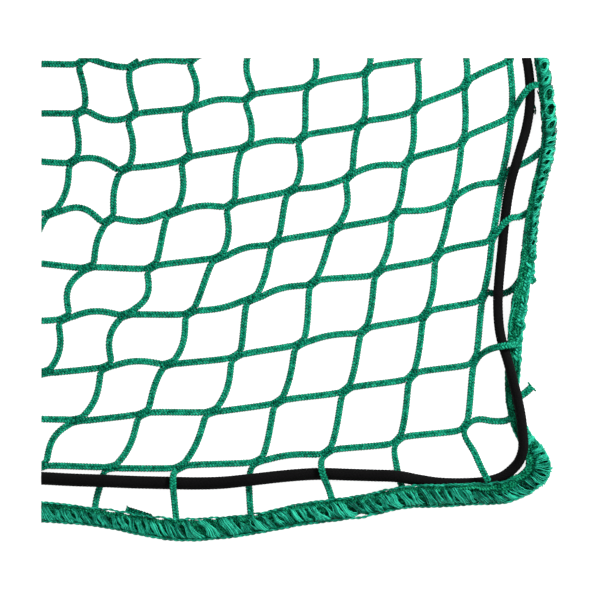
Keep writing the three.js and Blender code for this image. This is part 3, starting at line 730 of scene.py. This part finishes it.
# A bundle of flat fibres between two slits: how far in it starts, its number of fibres, its tone, how high
# it lies, and how much it puffs out beside the slits and is lighter there, a painted highlight.
Bundle = namedtuple("Bundle", "inner count tone height puff")
FURTHEST_IN = 0.94
BUNDLE_WIDTHS = (1.2, 4.5)
TONE_SPREAD = 0.12
RIBBON_SHARE = 0.56
RIBBON_HALF_WIDE = (0.18, 0.46)
RIBBON_SHIFT = 0.18
RIBBON_WAVER = 0.16
RIBBON_WAVES = 1.6
RIBBON_SIDE_SHADE = 0.16
FEWEST_RIBBONS = 3
LEAST_ROOM = 0.5
RIBBON_HALF_HIGH = 0.2
RIBBON_LIFT_SPREAD = 0.045
RIBBON_START_SPREAD = 0.12
RIBBON_STEPS = 30
WRAP_ARCH = 0.14
WRAP_START_DIP = 0.16
WRAP_START_LENGTH = 0.12
TUCK_START = 0.78
TUCK_LENGTH = 0.18
WRAP_SHADE = 0.5
CREST_FLATNESS = 0.6
CREST_LEVEL = 0.66
STREAK = 0.2
STREAKS = 3
# Beside slits of this width the wraps puff out in full.
PUFF_WIDTH = 5
WRAP_TURN_END = 1.78 * math.pi
BAND_ROUNDNESS = 0.85
SOLE = -0.94


def reach_at(far):
    """How far in the wraps reach at far, as a share of half the band's width."""
    return float(np.interp(far, WRAP_REACH_PLACES, WRAP_REACH))


def wrap_room(far):
    """How far across the wraps reach at far, in millimetres."""
    return (1 + reach_at(far)) * float(band.at(far, 2)) / 2


def placed_slits(chance, rows, manner):
    """Slits at the places that a table gives, slanted along the bottom and then straight across."""
    slits = []
    for x, y, length, width in rows:
        far, across = band.nearest(x, y)
        inner = reach_at(far)
        fan = np.clip((far - band.far_at_x(SLANT_UNTIL)) / FAN_LENGTH, 0, 1)
        slant = (1 - fan) * chance.uniform(*manner.slants) + fan * chance.uniform(*FAN_SLANTS)
        reach = 0.5 * (length + LENGTHENING) / math.hypot(wrap_room(far), slant)
        throat, nook = chance.uniform(*manner.throats), chance.uniform(*manner.nooks)
        middle = np.clip((inner - across) / (1 + inner), *MIDDLE_LIMITS)
        slits.append(Slit(far, middle, reach, WIDENING * width, slant, throat, nook, POINTED))
    return slits


def right_slits(chance):
    slits = []
    for y, middle, across, along in RIGHT_SLITS:
        far = band.far_at_y(y)
        reach = 0.5 * across / wrap_room(far)
        slits.append(Slit(far, middle, reach, along, chance.uniform(*RIGHT_SLANT), 0.0, 0.0, ROUND))
    return slits


def slit_sides(slit, over):
    """The slit's two sides, as places along the band, where wraps have come over so far."""
    line = slit.far + slit.slant * (over - slit.middle)
    bulge = np.clip(1 - ((over - slit.middle) / slit.reach) ** 2, 0, 1) ** slit.pointed
    throat = slit.throat / 2 * np.clip(1 - over / THROAT_DEPTH, 0, 1)
    nook = slit.nook / 2 * np.clip((over - NOOK_START) / (1 - NOOK_START), 0, 1)
    half = slit.width / 2 * bulge + throat + nook
    return line - half, line + half


def way_over(inner, start):
    """A fibre's turn round the band from start, and the share of its way over the top."""
    turn = np.linspace(math.acos(start), WRAP_TURN_END, RIBBON_STEPS)
    over = np.clip((inner - np.cos(turn)) / (1 + inner), 0, 1)
    over[turn > math.pi] = 1
    return turn, over


def room_between(near, away, over):
    """Where the room between two slits starts along the band, and how wide it is."""
    low = slit_sides(near, over)[1]
    return low, np.maximum(slit_sides(away, over)[0] - low, LEAST_ROOM)


def rounded(share):
    return np.sign(share) * np.abs(share) ** BAND_ROUNDNESS


def bundle_between(chance, near, away, style):
    """The bundle of fibres between two slits."""
    inner = reach_at((near.far + away.far) / 2)
    inner = min(inner + chance.uniform(-1, 1) * style.unevenness, FURTHEST_IN)
    _, over = way_over(inner, inner)
    breadth = float(room_between(near, away, over)[1].mean())
    count = max(FEWEST_RIBBONS, round(breadth / style.pitch))
    tone = np.interp(breadth, BUNDLE_WIDTHS, style.tones) + chance.normal(0, TONE_SPREAD)
    height = np.interp(breadth, BUNDLE_WIDTHS, style.lifts)
    puff = style.puff * min(1, (near.width + away.width) / (2 * PUFF_WIDTH))
    return Bundle(inner, count, tone, height, puff)


def lay_ribbon(skein, near, away, style, bundle, number):
    """One flat fibre of a bundle, from the wraps' inner side once round the band."""
    chance = skein.chance
    start = min(bundle.inner + chance.normal(0, RIBBON_START_SPREAD), FURTHEST_IN)
    turn, over = way_over(bundle.inner, start)
    low, room = room_between(near, away, over)
    share = (number + 0.5 + chance.normal(0, RIBBON_SHIFT)) / bundle.count
    waver = chance.normal(0, RIBBON_WAVER) * np.sin(RIBBON_WAVES * turn + chance.uniform(*PHASES))
    back = np.clip((turn - math.pi) / (WRAP_TURN_END - math.pi), 0, 1)
    far = low + room * share + waver - back * (near.slant + away.slant) / 2

    lift = bundle.height + WRAP_ARCH * math.sin(math.pi * share) + chance.normal(0, RIBBON_LIFT_SPREAD)
    lift = lift - WRAP_START_DIP * np.clip(1 - over / WRAP_START_LENGTH, 0, 1)
    lift = lift - style.tuck * np.clip((over - TUCK_START) / TUCK_LENGTH, 0, 1)
    beside_slit = bundle.puff * math.cos(2 * math.pi * share)
    lift = lift + beside_slit * over
    lift = lift - hole_depth(far, OUTER_HOLES) * over

    # Painted light and shade: a wrap is lightest at its crest, where style.crest puts it on its way, and
    # darker towards its start. Beside a slit a painted highlight lightens it, and painted light falls on a
    # bundle's near side.
    crest = np.sin(np.pi * over * style.crest) ** CREST_FLATNESS - CREST_LEVEL
    shade = WRAP_SHADE * crest + beside_slit + chance.normal(0, style.spread)
    shade = shade + style.lean * (1 - 2 * share)
    shade = bundle.tone + shade + STREAK * np.sin(STREAKS * turn + chance.uniform(*PHASES))

    across, up = rounded(np.cos(turn)), rounded(np.sin(turn))
    line = band.spot(far, across * lift, np.maximum(up * lift, SOLE))
    half = np.clip(RIBBON_SHARE * room / bundle.count, *RIBBON_HALF_WIDE)
    skein.tube(line, band.outward(far, across, up), half, RIBBON_HALF_HIGH, shade, RIBBON_SIDE_SHADE)


def wrap_border(skein, slits, style):
    for near, away in zip(slits, slits[1:]):
        bundle = bundle_between(skein.chance, near, away, style)
        for number in range(bundle.count):
            lay_ribbon(skein, near, away, style, bundle, number)


# Up to where the wraps start again, a chain of big stitches runs along the right border's outer edge.
CHAIN_STEP = 3.0
CHAIN_ACROSS = -0.62
CHAIN_RISE = 0.5
CHAIN_SIZE = 1.2
CHAIN_OVERLAP = 4
CHAIN_SWAY = 0.12
CHAIN_SIZE_SPREAD = 0.2
CHAIN_PERIOD = 7.4
CHAIN_TONE = 0.52
CHAIN_WANDER = 0.3


def chain_edge(skein):
    far = np.arange(CHAIN_START, CHAIN_END + CHAIN_OVERLAP, CHAIN_STEP)
    across = CHAIN_ACROSS + skein.chance.normal(0, CHAIN_SWAY, len(far))
    rise = CHAIN_RISE + skein.chance.normal(0, CHAIN_SWAY, len(far))
    size = CHAIN_SIZE * (1 + skein.chance.normal(0, CHAIN_SIZE_SPREAD, len(far)))
    for run in band_runs(far, across, rise, size, step=CORE_STEP):
        skein.plait(run[:, :3], run[:, 3], CHAIN_TONE, CHAIN_PERIOD, CHAIN_WANDER)


# The gathered edge of the net inside the band: strands side by side, on a bed. Each strand has its place
# across, and its tones and heights by place along the band: at the bottom's left end and along the rest of
# it, round the corner, and up the right side. Its lower tones are partly the knit's own darker colour and
# partly painted shade. The bed's dark tones are painted shade in the band's depths, where the slits show
# through.
Lane = namedtuple("Lane", "across tones rises")
CORE_PLACES = (
    LEFT_END, LOOSE_START, FAN_START, FAN_START + 14,
    band.far_at_y(-60), band.far_at_y(50), band.far_at_y(76), band.length,
)
INNER_RISES = (0.1, 0.1, 0.15, 0.3, 0.45, 0.45, 0.4, 0.4)
CORE_LANES = (
    Lane(-0.58, (0.1, 0.36, 0.2, 0, 0.34, 0.34, 0.5, 0.5), (0.1, 0.1, 0.1, 0, 0.45, 0.45, 0.25, 0.2)),
    Lane(-0.19, (0.1, 0.4, 0.24, 0.08, 0.36, 0.38, 0.2, 0.2), (0.1, 0.1, 0.1, 0.1, 0.45, 0.45, -0.1, -0.2)),
    Lane(0.2, (0.38, 0.4, 0.38, 0.34, 0.38, 0.44, 0.3, 0.24), INNER_RISES),
    Lane(0.62, (0.5, 0.56, 0.5, 0.42, 0.38, 0.44, 0.26, 0.2), INNER_RISES),
)
# How far the inner strands are pushed in or out round the corner.
NUDGE_PLACES = FAN_START + np.array([8, 14, 20, 26, 31, 35, 42, 50])
NUDGES = (0, 0.06, 0, -0.06, -0.02, 0.08, 0.12, 0)
CORE_TONE_SPREAD = 0.15
CORE_SWAY = 0.05
CORE_RISE_SPREAD = 0.07
CORE_STEP = 0.56
CORE_WAY = 3.0
CORE_WIDTH = 12
CORE_LEAST = 0.64
CORE_MOST = 1.25
# The bed's tones: painted shade in the band's depths.
BED_TONES = (-0.2, 0.08, -0.1, -0.4, -0.2, -0.1, 0.14, 0.14)
BED_OUTER = (-0.93, -0.93, -0.94, -0.94, -0.9, -0.86, -0.74, -0.74)
BED_RISES = (-0.35, -0.35, -0.35, -0.35, -0.35, -0.35, -0.1, -0.1)
BED_INNER = 0.74
BED_THICKNESS = 0.5
BED_STEP = 1.2
BED_SIDES = 12


def fill_border(skein):
    far = np.arange(0, band.length, CORE_WAY)
    room = np.clip(band.at(far, 2) / CORE_WIDTH, CORE_LEAST, CORE_MOST)
    inner = hole_depth(far, INNER_HOLES)
    outer = hole_depth(far, OUTER_HOLES)
    reach = CORE_LANES[-1].across
    for lane in CORE_LANES:
        sway = skein.chance.normal(0, CORE_SWAY, len(far))
        rise = np.interp(far, CORE_PLACES, lane.rises)
        rise = rise + skein.chance.normal(0, CORE_RISE_SPREAD, len(far))
        drawn = np.interp(far, NUDGE_PLACES, NUDGES) - inner if lane.across > 0 else outer
        across = lane.across + sway + drawn * abs(lane.across) / reach
        tone = np.interp(far, CORE_PLACES, lane.tones)
        tone = tone + skein.chance.normal(0, CORE_TONE_SPREAD, len(far))
        for run in band_runs(far, across, rise, room, tone, step=CORE_STEP):
            size = run[:, 3]
            # Adding JOINT_SHADE * (1 - size) takes back the painted joint shade that plait gives narrowed
            # lanes, and darkens lanes wider than 1.
            skein.plait(run[:, :3], size, run[:, 4] + JOINT_SHADE * (1 - size))


def lay_bed(skein):
    far = np.arange(0, band.length, BED_STEP)
    inner = BED_INNER - hole_depth(far, INNER_HOLES)
    outer = np.interp(far, CORE_PLACES, BED_OUTER) + hole_depth(far, OUTER_HOLES)
    half_wide = (inner - outer) / 2 * band.at(far, 2) / 2
    half_high = BED_THICKNESS * band.at(far, 3) / 2
    line = band.spot(far, (inner + outer) / 2, np.interp(far, CORE_PLACES, BED_RISES))
    # The bed's dark tones are painted shade.
    tones = np.interp(far, CORE_PLACES, BED_TONES)
    skein.tube(line, band.above(far), half_wide, half_high, tones, sides=BED_SIDES)


# Threads along the band's two rims: across, how high, the thickness of a ply, how unevenly light, and
# how far off the band they pass a hole, as a share of its depth. Wraps draw them in.
Rim = namedtuple("Rim", "across height ply tone_spread hole_share")
OUTER_RIM = Rim(-0.95, 0.42, 0.5, 0.14, 0.5)
INNER_RIM = Rim(0.9, 0.45, 0.42, 0.12, 0.6)
RIM_STEP = 0.6
RIM_WAY = 2.6
RIM_PERIOD = 6.5
RIM_SWAY = 0.015
RIM_RISE_SPREAD = 0.07
RIM_PLY_GAP = 0.8
OUTER_RIM_PLACES = (FAN_START + 8, FAN_START + 16, WRAPS_END, band.length)
OUTER_RIM_DRAWN_IN = (0, 0.1, 0.06, 0)
OUTER_RIM_TONES = (0.5, 0.85, 0.8, 0.5)
# The inner thread is light and stands off in arches along the bottom, and hugs the band elsewhere.
INNER_RIM_PLACES = (0, FAN_START, FAN_START + 12, band.length)
INNER_RIM_TONES = (0.62, 0.55, 0.3, 0.24)
INNER_RIM_ARCHES = (0.36, 0.3, 0, 0)
INNER_RIM_DRAWN_IN = (0, 0, 0.1, 0.22)
ARCH_WAY = 12
ARCH_LEVEL = 0.4
ARCH_DRIFT = 0.6
ARCH_DRIFT_WAY = 23
THREAD_SIDE_SHADE = 0.1


def twist(skein, line, ply, radius, period, tone):
    """A thread of two plies twisted round each other along a line."""
    _, side, rise = frame_of(line)
    turn = travelled(line) / period + skein.chance.uniform(0, 1)
    for half_turn in (0, 0.5):
        angle = 2 * np.pi * (turn + half_turn)[:, None]
        path = line + side * np.cos(angle) * radius + rise * np.sin(angle) * radius
        skein.tube(path, rise, ply, ply, tone, THREAD_SIDE_SHADE)


def lay_rim(skein, far, across, rim, tones):
    tone = tones + skein.chance.normal(0, rim.tone_spread, len(far))
    height = rim.height + skein.chance.normal(0, RIM_RISE_SPREAD, len(far))
    for run in band_runs(far, across, height, tone, step=RIM_STEP):
        twist(skein, run[:, :3], rim.ply, rim.ply * RIM_PLY_GAP, RIM_PERIOD, run[:, 3])


def outer_rim(skein):
    far = np.arange(0, CHAIN_END, RIM_WAY)
    out = OUTER_RIM.across * (1 + skein.chance.normal(0, RIM_SWAY, len(far)))
    out = out - OUTER_RIM.hole_share * hole_depth(far, OUTER_HOLES)
    out = out + np.interp(far, OUTER_RIM_PLACES, OUTER_RIM_DRAWN_IN)
    lay_rim(skein, far, out, OUTER_RIM, np.interp(far, OUTER_RIM_PLACES, OUTER_RIM_TONES))


def inner_rim(skein):
    far = np.arange(0, band.length, RIM_WAY)
    arches = np.abs(np.sin(np.pi * far / ARCH_WAY + ARCH_DRIFT * np.sin(far / ARCH_DRIFT_WAY)))
    stand_off = np.interp(far, INNER_RIM_PLACES, INNER_RIM_ARCHES) * (arches - ARCH_LEVEL)
    out = INNER_RIM.across + stand_off / (band.at(far, 2) / 2)
    out = out - np.interp(far, INNER_RIM_PLACES, INNER_RIM_DRAWN_IN)
    out = out + INNER_RIM.hole_share * hole_depth(far, INNER_HOLES)
    lay_rim(skein, far, out, INNER_RIM, np.interp(far, INNER_RIM_PLACES, INNER_RIM_TONES))


# Trimmed ends are short plaits that end in a brush of loose fibres: each end's size and tone, and
# the half width of its brush, which starts at the plait's third last point.
STUBS = ((1.12, PLAIT_TONE, 2.6), (0.76, 0.16, 1.1), (1.12, PLAIT_TONE, 0.9))
FRAY_FIBRES = 44
FRAY_FROM = -3
FRAY_SHORTEST = 0.5
FRAY_LENGTH = 1.8
FRAY_ROOT = (0.9, 0.7)
FRAY_RISE = 0.5
FRAY_BEND = (0.7, 0.3)
FRAY_TONES = (-0.1, 0.4)
FRAY_HALF_WIDE = 0.22
FRAY_HALF_HIGH = 0.14


def trimmed_ends(skein):
    for places, (size, tone, spread) in zip(TRIMMED_ENDS, STUBS):
        line = smooth_line(places, PLAIT_STEP)
        skein.plait(line, np.full(len(line), size), tone)
        along, side, rise = frame_of(line)
        for _ in range(FRAY_FIBRES):
            aside, above = skein.chance.uniform(-1, 1, 2)
            start = line[FRAY_FROM] + side[-1] * aside * FRAY_ROOT[0] + rise[-1] * above * FRAY_ROOT[1]
            out = along[-1] * FRAY_LENGTH * skein.chance.uniform(FRAY_SHORTEST, 1)
            apart = side[-1] * aside * spread
            middle = start + out * FRAY_BEND[0] + apart * FRAY_BEND[1]
            end = start + out + apart + rise[-1] * above * FRAY_RISE
            fibre = smooth_line([start, middle, end], FINE_STEP)
            flat = np.broadcast_to(rise[-1], fibre.shape)
            shade = tone + skein.chance.uniform(*FRAY_TONES)
            skein.tube(fibre, flat, FRAY_HALF_WIDE, FRAY_HALF_HIGH, shade)


# Loose threads beside the right border: the places that they pass, and their tone.
LOOSE_THREADS = (
    (((127.6, 106.6, 3.6), (128.8, 104.2, 3.8), (128, 101.2, 3.6)), -0.3),
    (((127.8, 105.2, 3.9), (129, 102.6, 3.8), (128.6, 100.4, 3.4)), -0.2),
    (((129.8, 113.4, 6), (130.6, 111.2, 5.6), (131.3, 109.2, 5)), -0.3),
    (((116.8, -1.6, 7.4), (114.7, -10.4, 6.4), (114.1, -16.9, 6), (115.7, -19.8, 6)), 0.95),
    (((117.2, -5, 7.6), (115.4, -12.4, 6.8), (115.2, -17.5, 6.4)), 0.8),
    (((116.2, -69.6, 4.4), (118.7, -75, 4.8), (121.2, -79.4, 4.8)), 0.85),
)
LOOSE_PLY = 0.24
LOOSE_PERIOD = 3.4


def loose_threads(skein):
    for places, tone in LOOSE_THREADS:
        twist(skein, smooth_line(places, FINE_STEP), LOOSE_PLY, LOOSE_PLY, LOOSE_PERIOD, tone)


# The elastic cord.


def elastic_piece(material):
    line = smooth_line(ELASTIC_ROUTE, BRAID_STEP)
    _, side, rise = frame_of(line)
    far = travelled(line)[:, None]
    shares, thicknesses = zip(*ELASTIC_THICKNESS)
    thick = np.interp(far / far[-1], shares, thicknesses)
    turn = np.arange(BRAID_SIDES) * 2 * np.pi / BRAID_SIDES
    rows, around = far / BRAID_PITCH, turn[None, :] * BRAID_CARRIERS / (2 * np.pi)
    one, other = rows + around, rows - around
    on_top = (np.floor(one) + np.floor(other)) % 2 == 0
    here = np.where(on_top, one % 1, other % 1)
    passing = np.where(on_top, other % 1, one % 1)
    round_top = np.sqrt(np.clip(1 - (2 * here - 1) ** 2, 0, 1))
    dive = np.clip(np.sin(np.pi * passing), 0, 1) ** 0.5
    radius = thick / 2 + BRAID_SWELL - BRAID_RELIEF * (1 - round_top * (BRAID_LEVEL + BRAID_DIVE * dive))
    ring = line[:, None] + side[:, None] * (radius * np.cos(turn))[..., None]
    ring = ring + rise[:, None] * (radius * np.sin(turn))[..., None]
    mesh = new_mesh("elastic_cord_braid", ring.reshape(-1, 3), tube_faces(*radius.shape))
    return finished("elastic_cord_braid", mesh, material, "elastic_cord")


# Materials.


def set_values(made, **values):
    """Gives a node's settings and inputs their values. An input's name has _ in place of a space."""
    for name, value in values.items():
        if hasattr(made, name):
            setattr(made, name, value)
        else:
            made.inputs[name.replace("_", " ")].default_value = value


def node(tree, kind, **values):
    made = tree.nodes.new(kind)
    set_values(made, **values)
    return made


def srgb(red, green, blue):
    """A colour given as the eye sees it, 0 to 255, as linear light."""
    values = np.array([red, green, blue]) / 255
    linear = np.where(values <= 0.04045, values / 12.92, ((values + 0.055) / 1.055) ** 2.4)
    return (*linear.tolist(), 1.0)


def new_material(name, **values):
    made = bpy.data.materials.new(name)
    made.use_nodes = True
    shader = made.node_tree.nodes["Principled BSDF"]
    set_values(shader, **values)
    return made, made.node_tree, shader


def noise(tree, places, **values):
    made = node(tree, "ShaderNodeTexNoise", **values)
    tree.links.new(places, made.inputs["Vector"])
    return made.outputs["Fac"]


def colour_by(tree, shader, value, first, last, *between):
    """Colours the shader by value. Each stop is a value and its colour as the eye sees it."""
    ramp = node(tree, "ShaderNodeValToRGB")
    stops = ramp.color_ramp.elements
    for stop, (position, colour) in zip(stops, (first, last)):
        stop.position, stop.color = position, srgb(*colour)
    for position, colour in between:
        stops.new(position).color = srgb(*colour)
    tree.links.new(value, ramp.inputs["Fac"])
    tree.links.new(ramp.outputs["Color"], shader.inputs["Base Color"])


def bump_by(tree, shader, height, strength, distance):
    bump = node(tree, "ShaderNodeBump", Strength=strength, Distance=distance)
    tree.links.new(height, bump.inputs["Height"])
    tree.links.new(bump.outputs["Normal"], shader.inputs["Normal"])


# A yarn's roughness, shine and bumps, its specks to a metre, and how much fibres and specks show.
Look = namedtuple("Look", "roughness shine bumps specks fibre_contrast speck_contrast")
PLAITED = Look(0.5, 0.12, 0.5, 700.0, 1.0, 1.9)
WRAPPED = Look(0.4, 0.3, 0.4, 420.0, 1.1, 1.3)
YARN_SHINE = (0.25, 1.0, 0.85, 1.0)
FIBRE_STRETCH = (0.35, 4.0, 4.0)


def yarn_material(name, look, dark, middle, light):
    """Fibres run along each yarn. Its tone, which holds painted light and shade besides its own variation,
    its fibres and small specks make it darker or lighter.
    """
    made, tree, shader = new_material(
        name, Roughness=look.roughness, Specular_IOR_Level=look.shine, Specular_Tint=YARN_SHINE
    )
    link = tree.links.new
    fibre = node(tree, "ShaderNodeAttribute", attribute_name="fibre")
    tone = node(tree, "ShaderNodeAttribute", attribute_name="tone")
    coordinates = node(tree, "ShaderNodeTexCoord")
    stretch = node(tree, "ShaderNodeMapping", Scale=FIBRE_STRETCH)
    link(fibre.outputs["Vector"], stretch.inputs["Vector"])
    lines = noise(tree, stretch.outputs["Vector"], Scale=1.6, Detail=3.0, Roughness=0.6)
    specks = noise(tree, coordinates.outputs["Object"], Scale=look.specks, Detail=2.0, Roughness=0.55)

    total = tone.outputs["Fac"]
    for pattern, amount in ((lines, look.fibre_contrast), (specks, look.speck_contrast)):
        centred = node(tree, "ShaderNodeMath", operation="SUBTRACT")
        link(pattern, centred.inputs[0])
        centred.inputs[1].default_value = 0.5
        add = node(tree, "ShaderNodeMath", operation="MULTIPLY_ADD")
        link(centred.outputs["Value"], add.inputs[0])
        add.inputs[1].default_value = amount
        link(total, add.inputs[2])
        total = add.outputs["Value"]

    colour_by(tree, shader, total, (0.0, dark), (1.0, light), (0.5, middle))
    bump_by(tree, shader, lines, strength=look.bumps, distance=0.0002)
    return made


def elastic_material():
    made, tree, shader = new_material("black_braid", Roughness=0.9, Specular_IOR_Level=0.1)
    coordinates = node(tree, "ShaderNodeTexCoord")
    grain = noise(tree, coordinates.outputs["Object"], Scale=1800.0, Detail=2.0, Roughness=0.6)
    colour_by(tree, shader, grain, (0.35, (4, 4, 5)), (0.75, (16, 15, 15)))
    bump_by(tree, shader, grain, strength=0.5, distance=0.0001)
    return made


def floor_material():
    made, _, _ = new_material(
        "pale_floor", Base_Color=(0.45, 0.45, 0.45, 1), Roughness=0.9,
        Emission_Color=(1, 1, 1, 1), Emission_Strength=0.88,
    )
    return made


# The room: a pale floor, soft light and a camera straight above.
VIEW_WIDE = 0.327
VIEW_MIDDLE = (0.00053, -0.00033)
LENS = 400
SENSOR = 36
FLOOR_WIDE = 6


def make_camera():
    data = bpy.data.cameras.new("camera")
    data.lens = LENS
    data.sensor_width = SENSOR
    data.clip_end = 50
    made = add_object("camera", data)
    made.location = (*VIEW_MIDDLE, VIEW_WIDE * LENS / SENSOR)
    bpy.context.scene.camera = made


def make_floor():
    half = FLOOR_WIDE / 2
    mesh = bpy.data.meshes.new("floor")
    corners = [(-half, -half, 0), (half, -half, 0), (half, half, 0), (-half, half, 0)]
    mesh.from_pydata(corners, [], [(0, 1, 2, 3)])
    mesh.materials.append(floor_material())
    add_object("floor", mesh)


def area_light(name, location, size, power):
    data = bpy.data.lights.new(name, "AREA")
    data.size = size
    data.energy = power
    made = add_object(name, data)
    made.location = location
    made.rotation_euler = (-Vector(location)).to_track_quat("-Z", "Y").to_euler()


def make_light():
    area_light("key_light", (0.9, 0.7, 0.75), size=0.4, power=20)
    area_light("fill_light", (-1.0, -0.7, 1.2), size=1.2, power=1.5)
    world = bpy.data.worlds.new("soft_room")
    bpy.context.scene.world = world
    world.use_nodes = True
    set_values(world.node_tree.nodes["Background"], Color=(1, 1, 1, 1), Strength=0.55)
    bpy.context.scene.view_settings.view_transform = "Standard"


make_camera()
make_floor()
make_light()

net_yarn = yarn_material("net_yarn", PLAITED, (0, 46, 32), (6, 123, 92), (36, 180, 142))
core_yarn = yarn_material("core_yarn", PLAITED, (0, 36, 24), (4, 110, 76), (35, 170, 126))
border_yarn = yarn_material("border_yarn", WRAPPED, (0, 54, 40), (4, 130, 100), (52, 208, 170))

rising = Skein(seed=11)
plait_chains(rising, rising_chains(range(SPLIT_COLUMN)))
net_right = rising.piece("net_strands_right", net_yarn, "netting")

climbing = Skein(seed=12)
plait_chains(climbing, rising_chains(range(SPLIT_COLUMN, LAST_COLUMN + 1)))
plait_chains(climbing, left_chains())
bind_joints(climbing)
net_left = climbing.piece("net_strands_left", net_yarn, "netting")

core = Skein(seed=13)
fill_border(core)
lay_bed(core)
core.piece("border_core", core_yarn, "border_band")

bottom_wraps = Skein(seed=14)
at_left = placed_slits(bottom_wraps.chance, LEFT_SLITS, LEFT_MANNER)
round_corner = placed_slits(bottom_wraps.chance, CORNER_SLITS, CORNER_MANNER)
wrap_border(bottom_wraps, at_left, LEFT_STYLE)
wrap_border(bottom_wraps, round_corner[: TURN_SLITS + 1], TURN_STYLE)
wrap_border(bottom_wraps, round_corner[TURN_SLITS:], CORNER_STYLE)
in_middle = placed_slits(bottom_wraps.chance, MIDDLE_SLITS, BOTTOM_MANNER)
wrap_border(bottom_wraps, [at_left[-1], *in_middle, round_corner[0]], BOTTOM_STYLE)
bottom_wraps.piece("border_wraps", border_yarn, "border_band")

right_wraps = Skein(seed=17)
wrap_border(right_wraps, right_slits(right_wraps.chance), RIGHT_STYLE)
chain_edge(right_wraps)
right_wraps.piece("border_right_wraps", border_yarn, "border_band")

rims = Skein(seed=15)
outer_rim(rims)
inner_rim(rims)
rims.piece("border_rims", border_yarn, "border_band")

ends = Skein(seed=16)
trimmed_ends(ends)
loose_threads(ends)
ends.piece("trimmed_ends", net_yarn, "border_band")

elastic_piece(elastic_material())
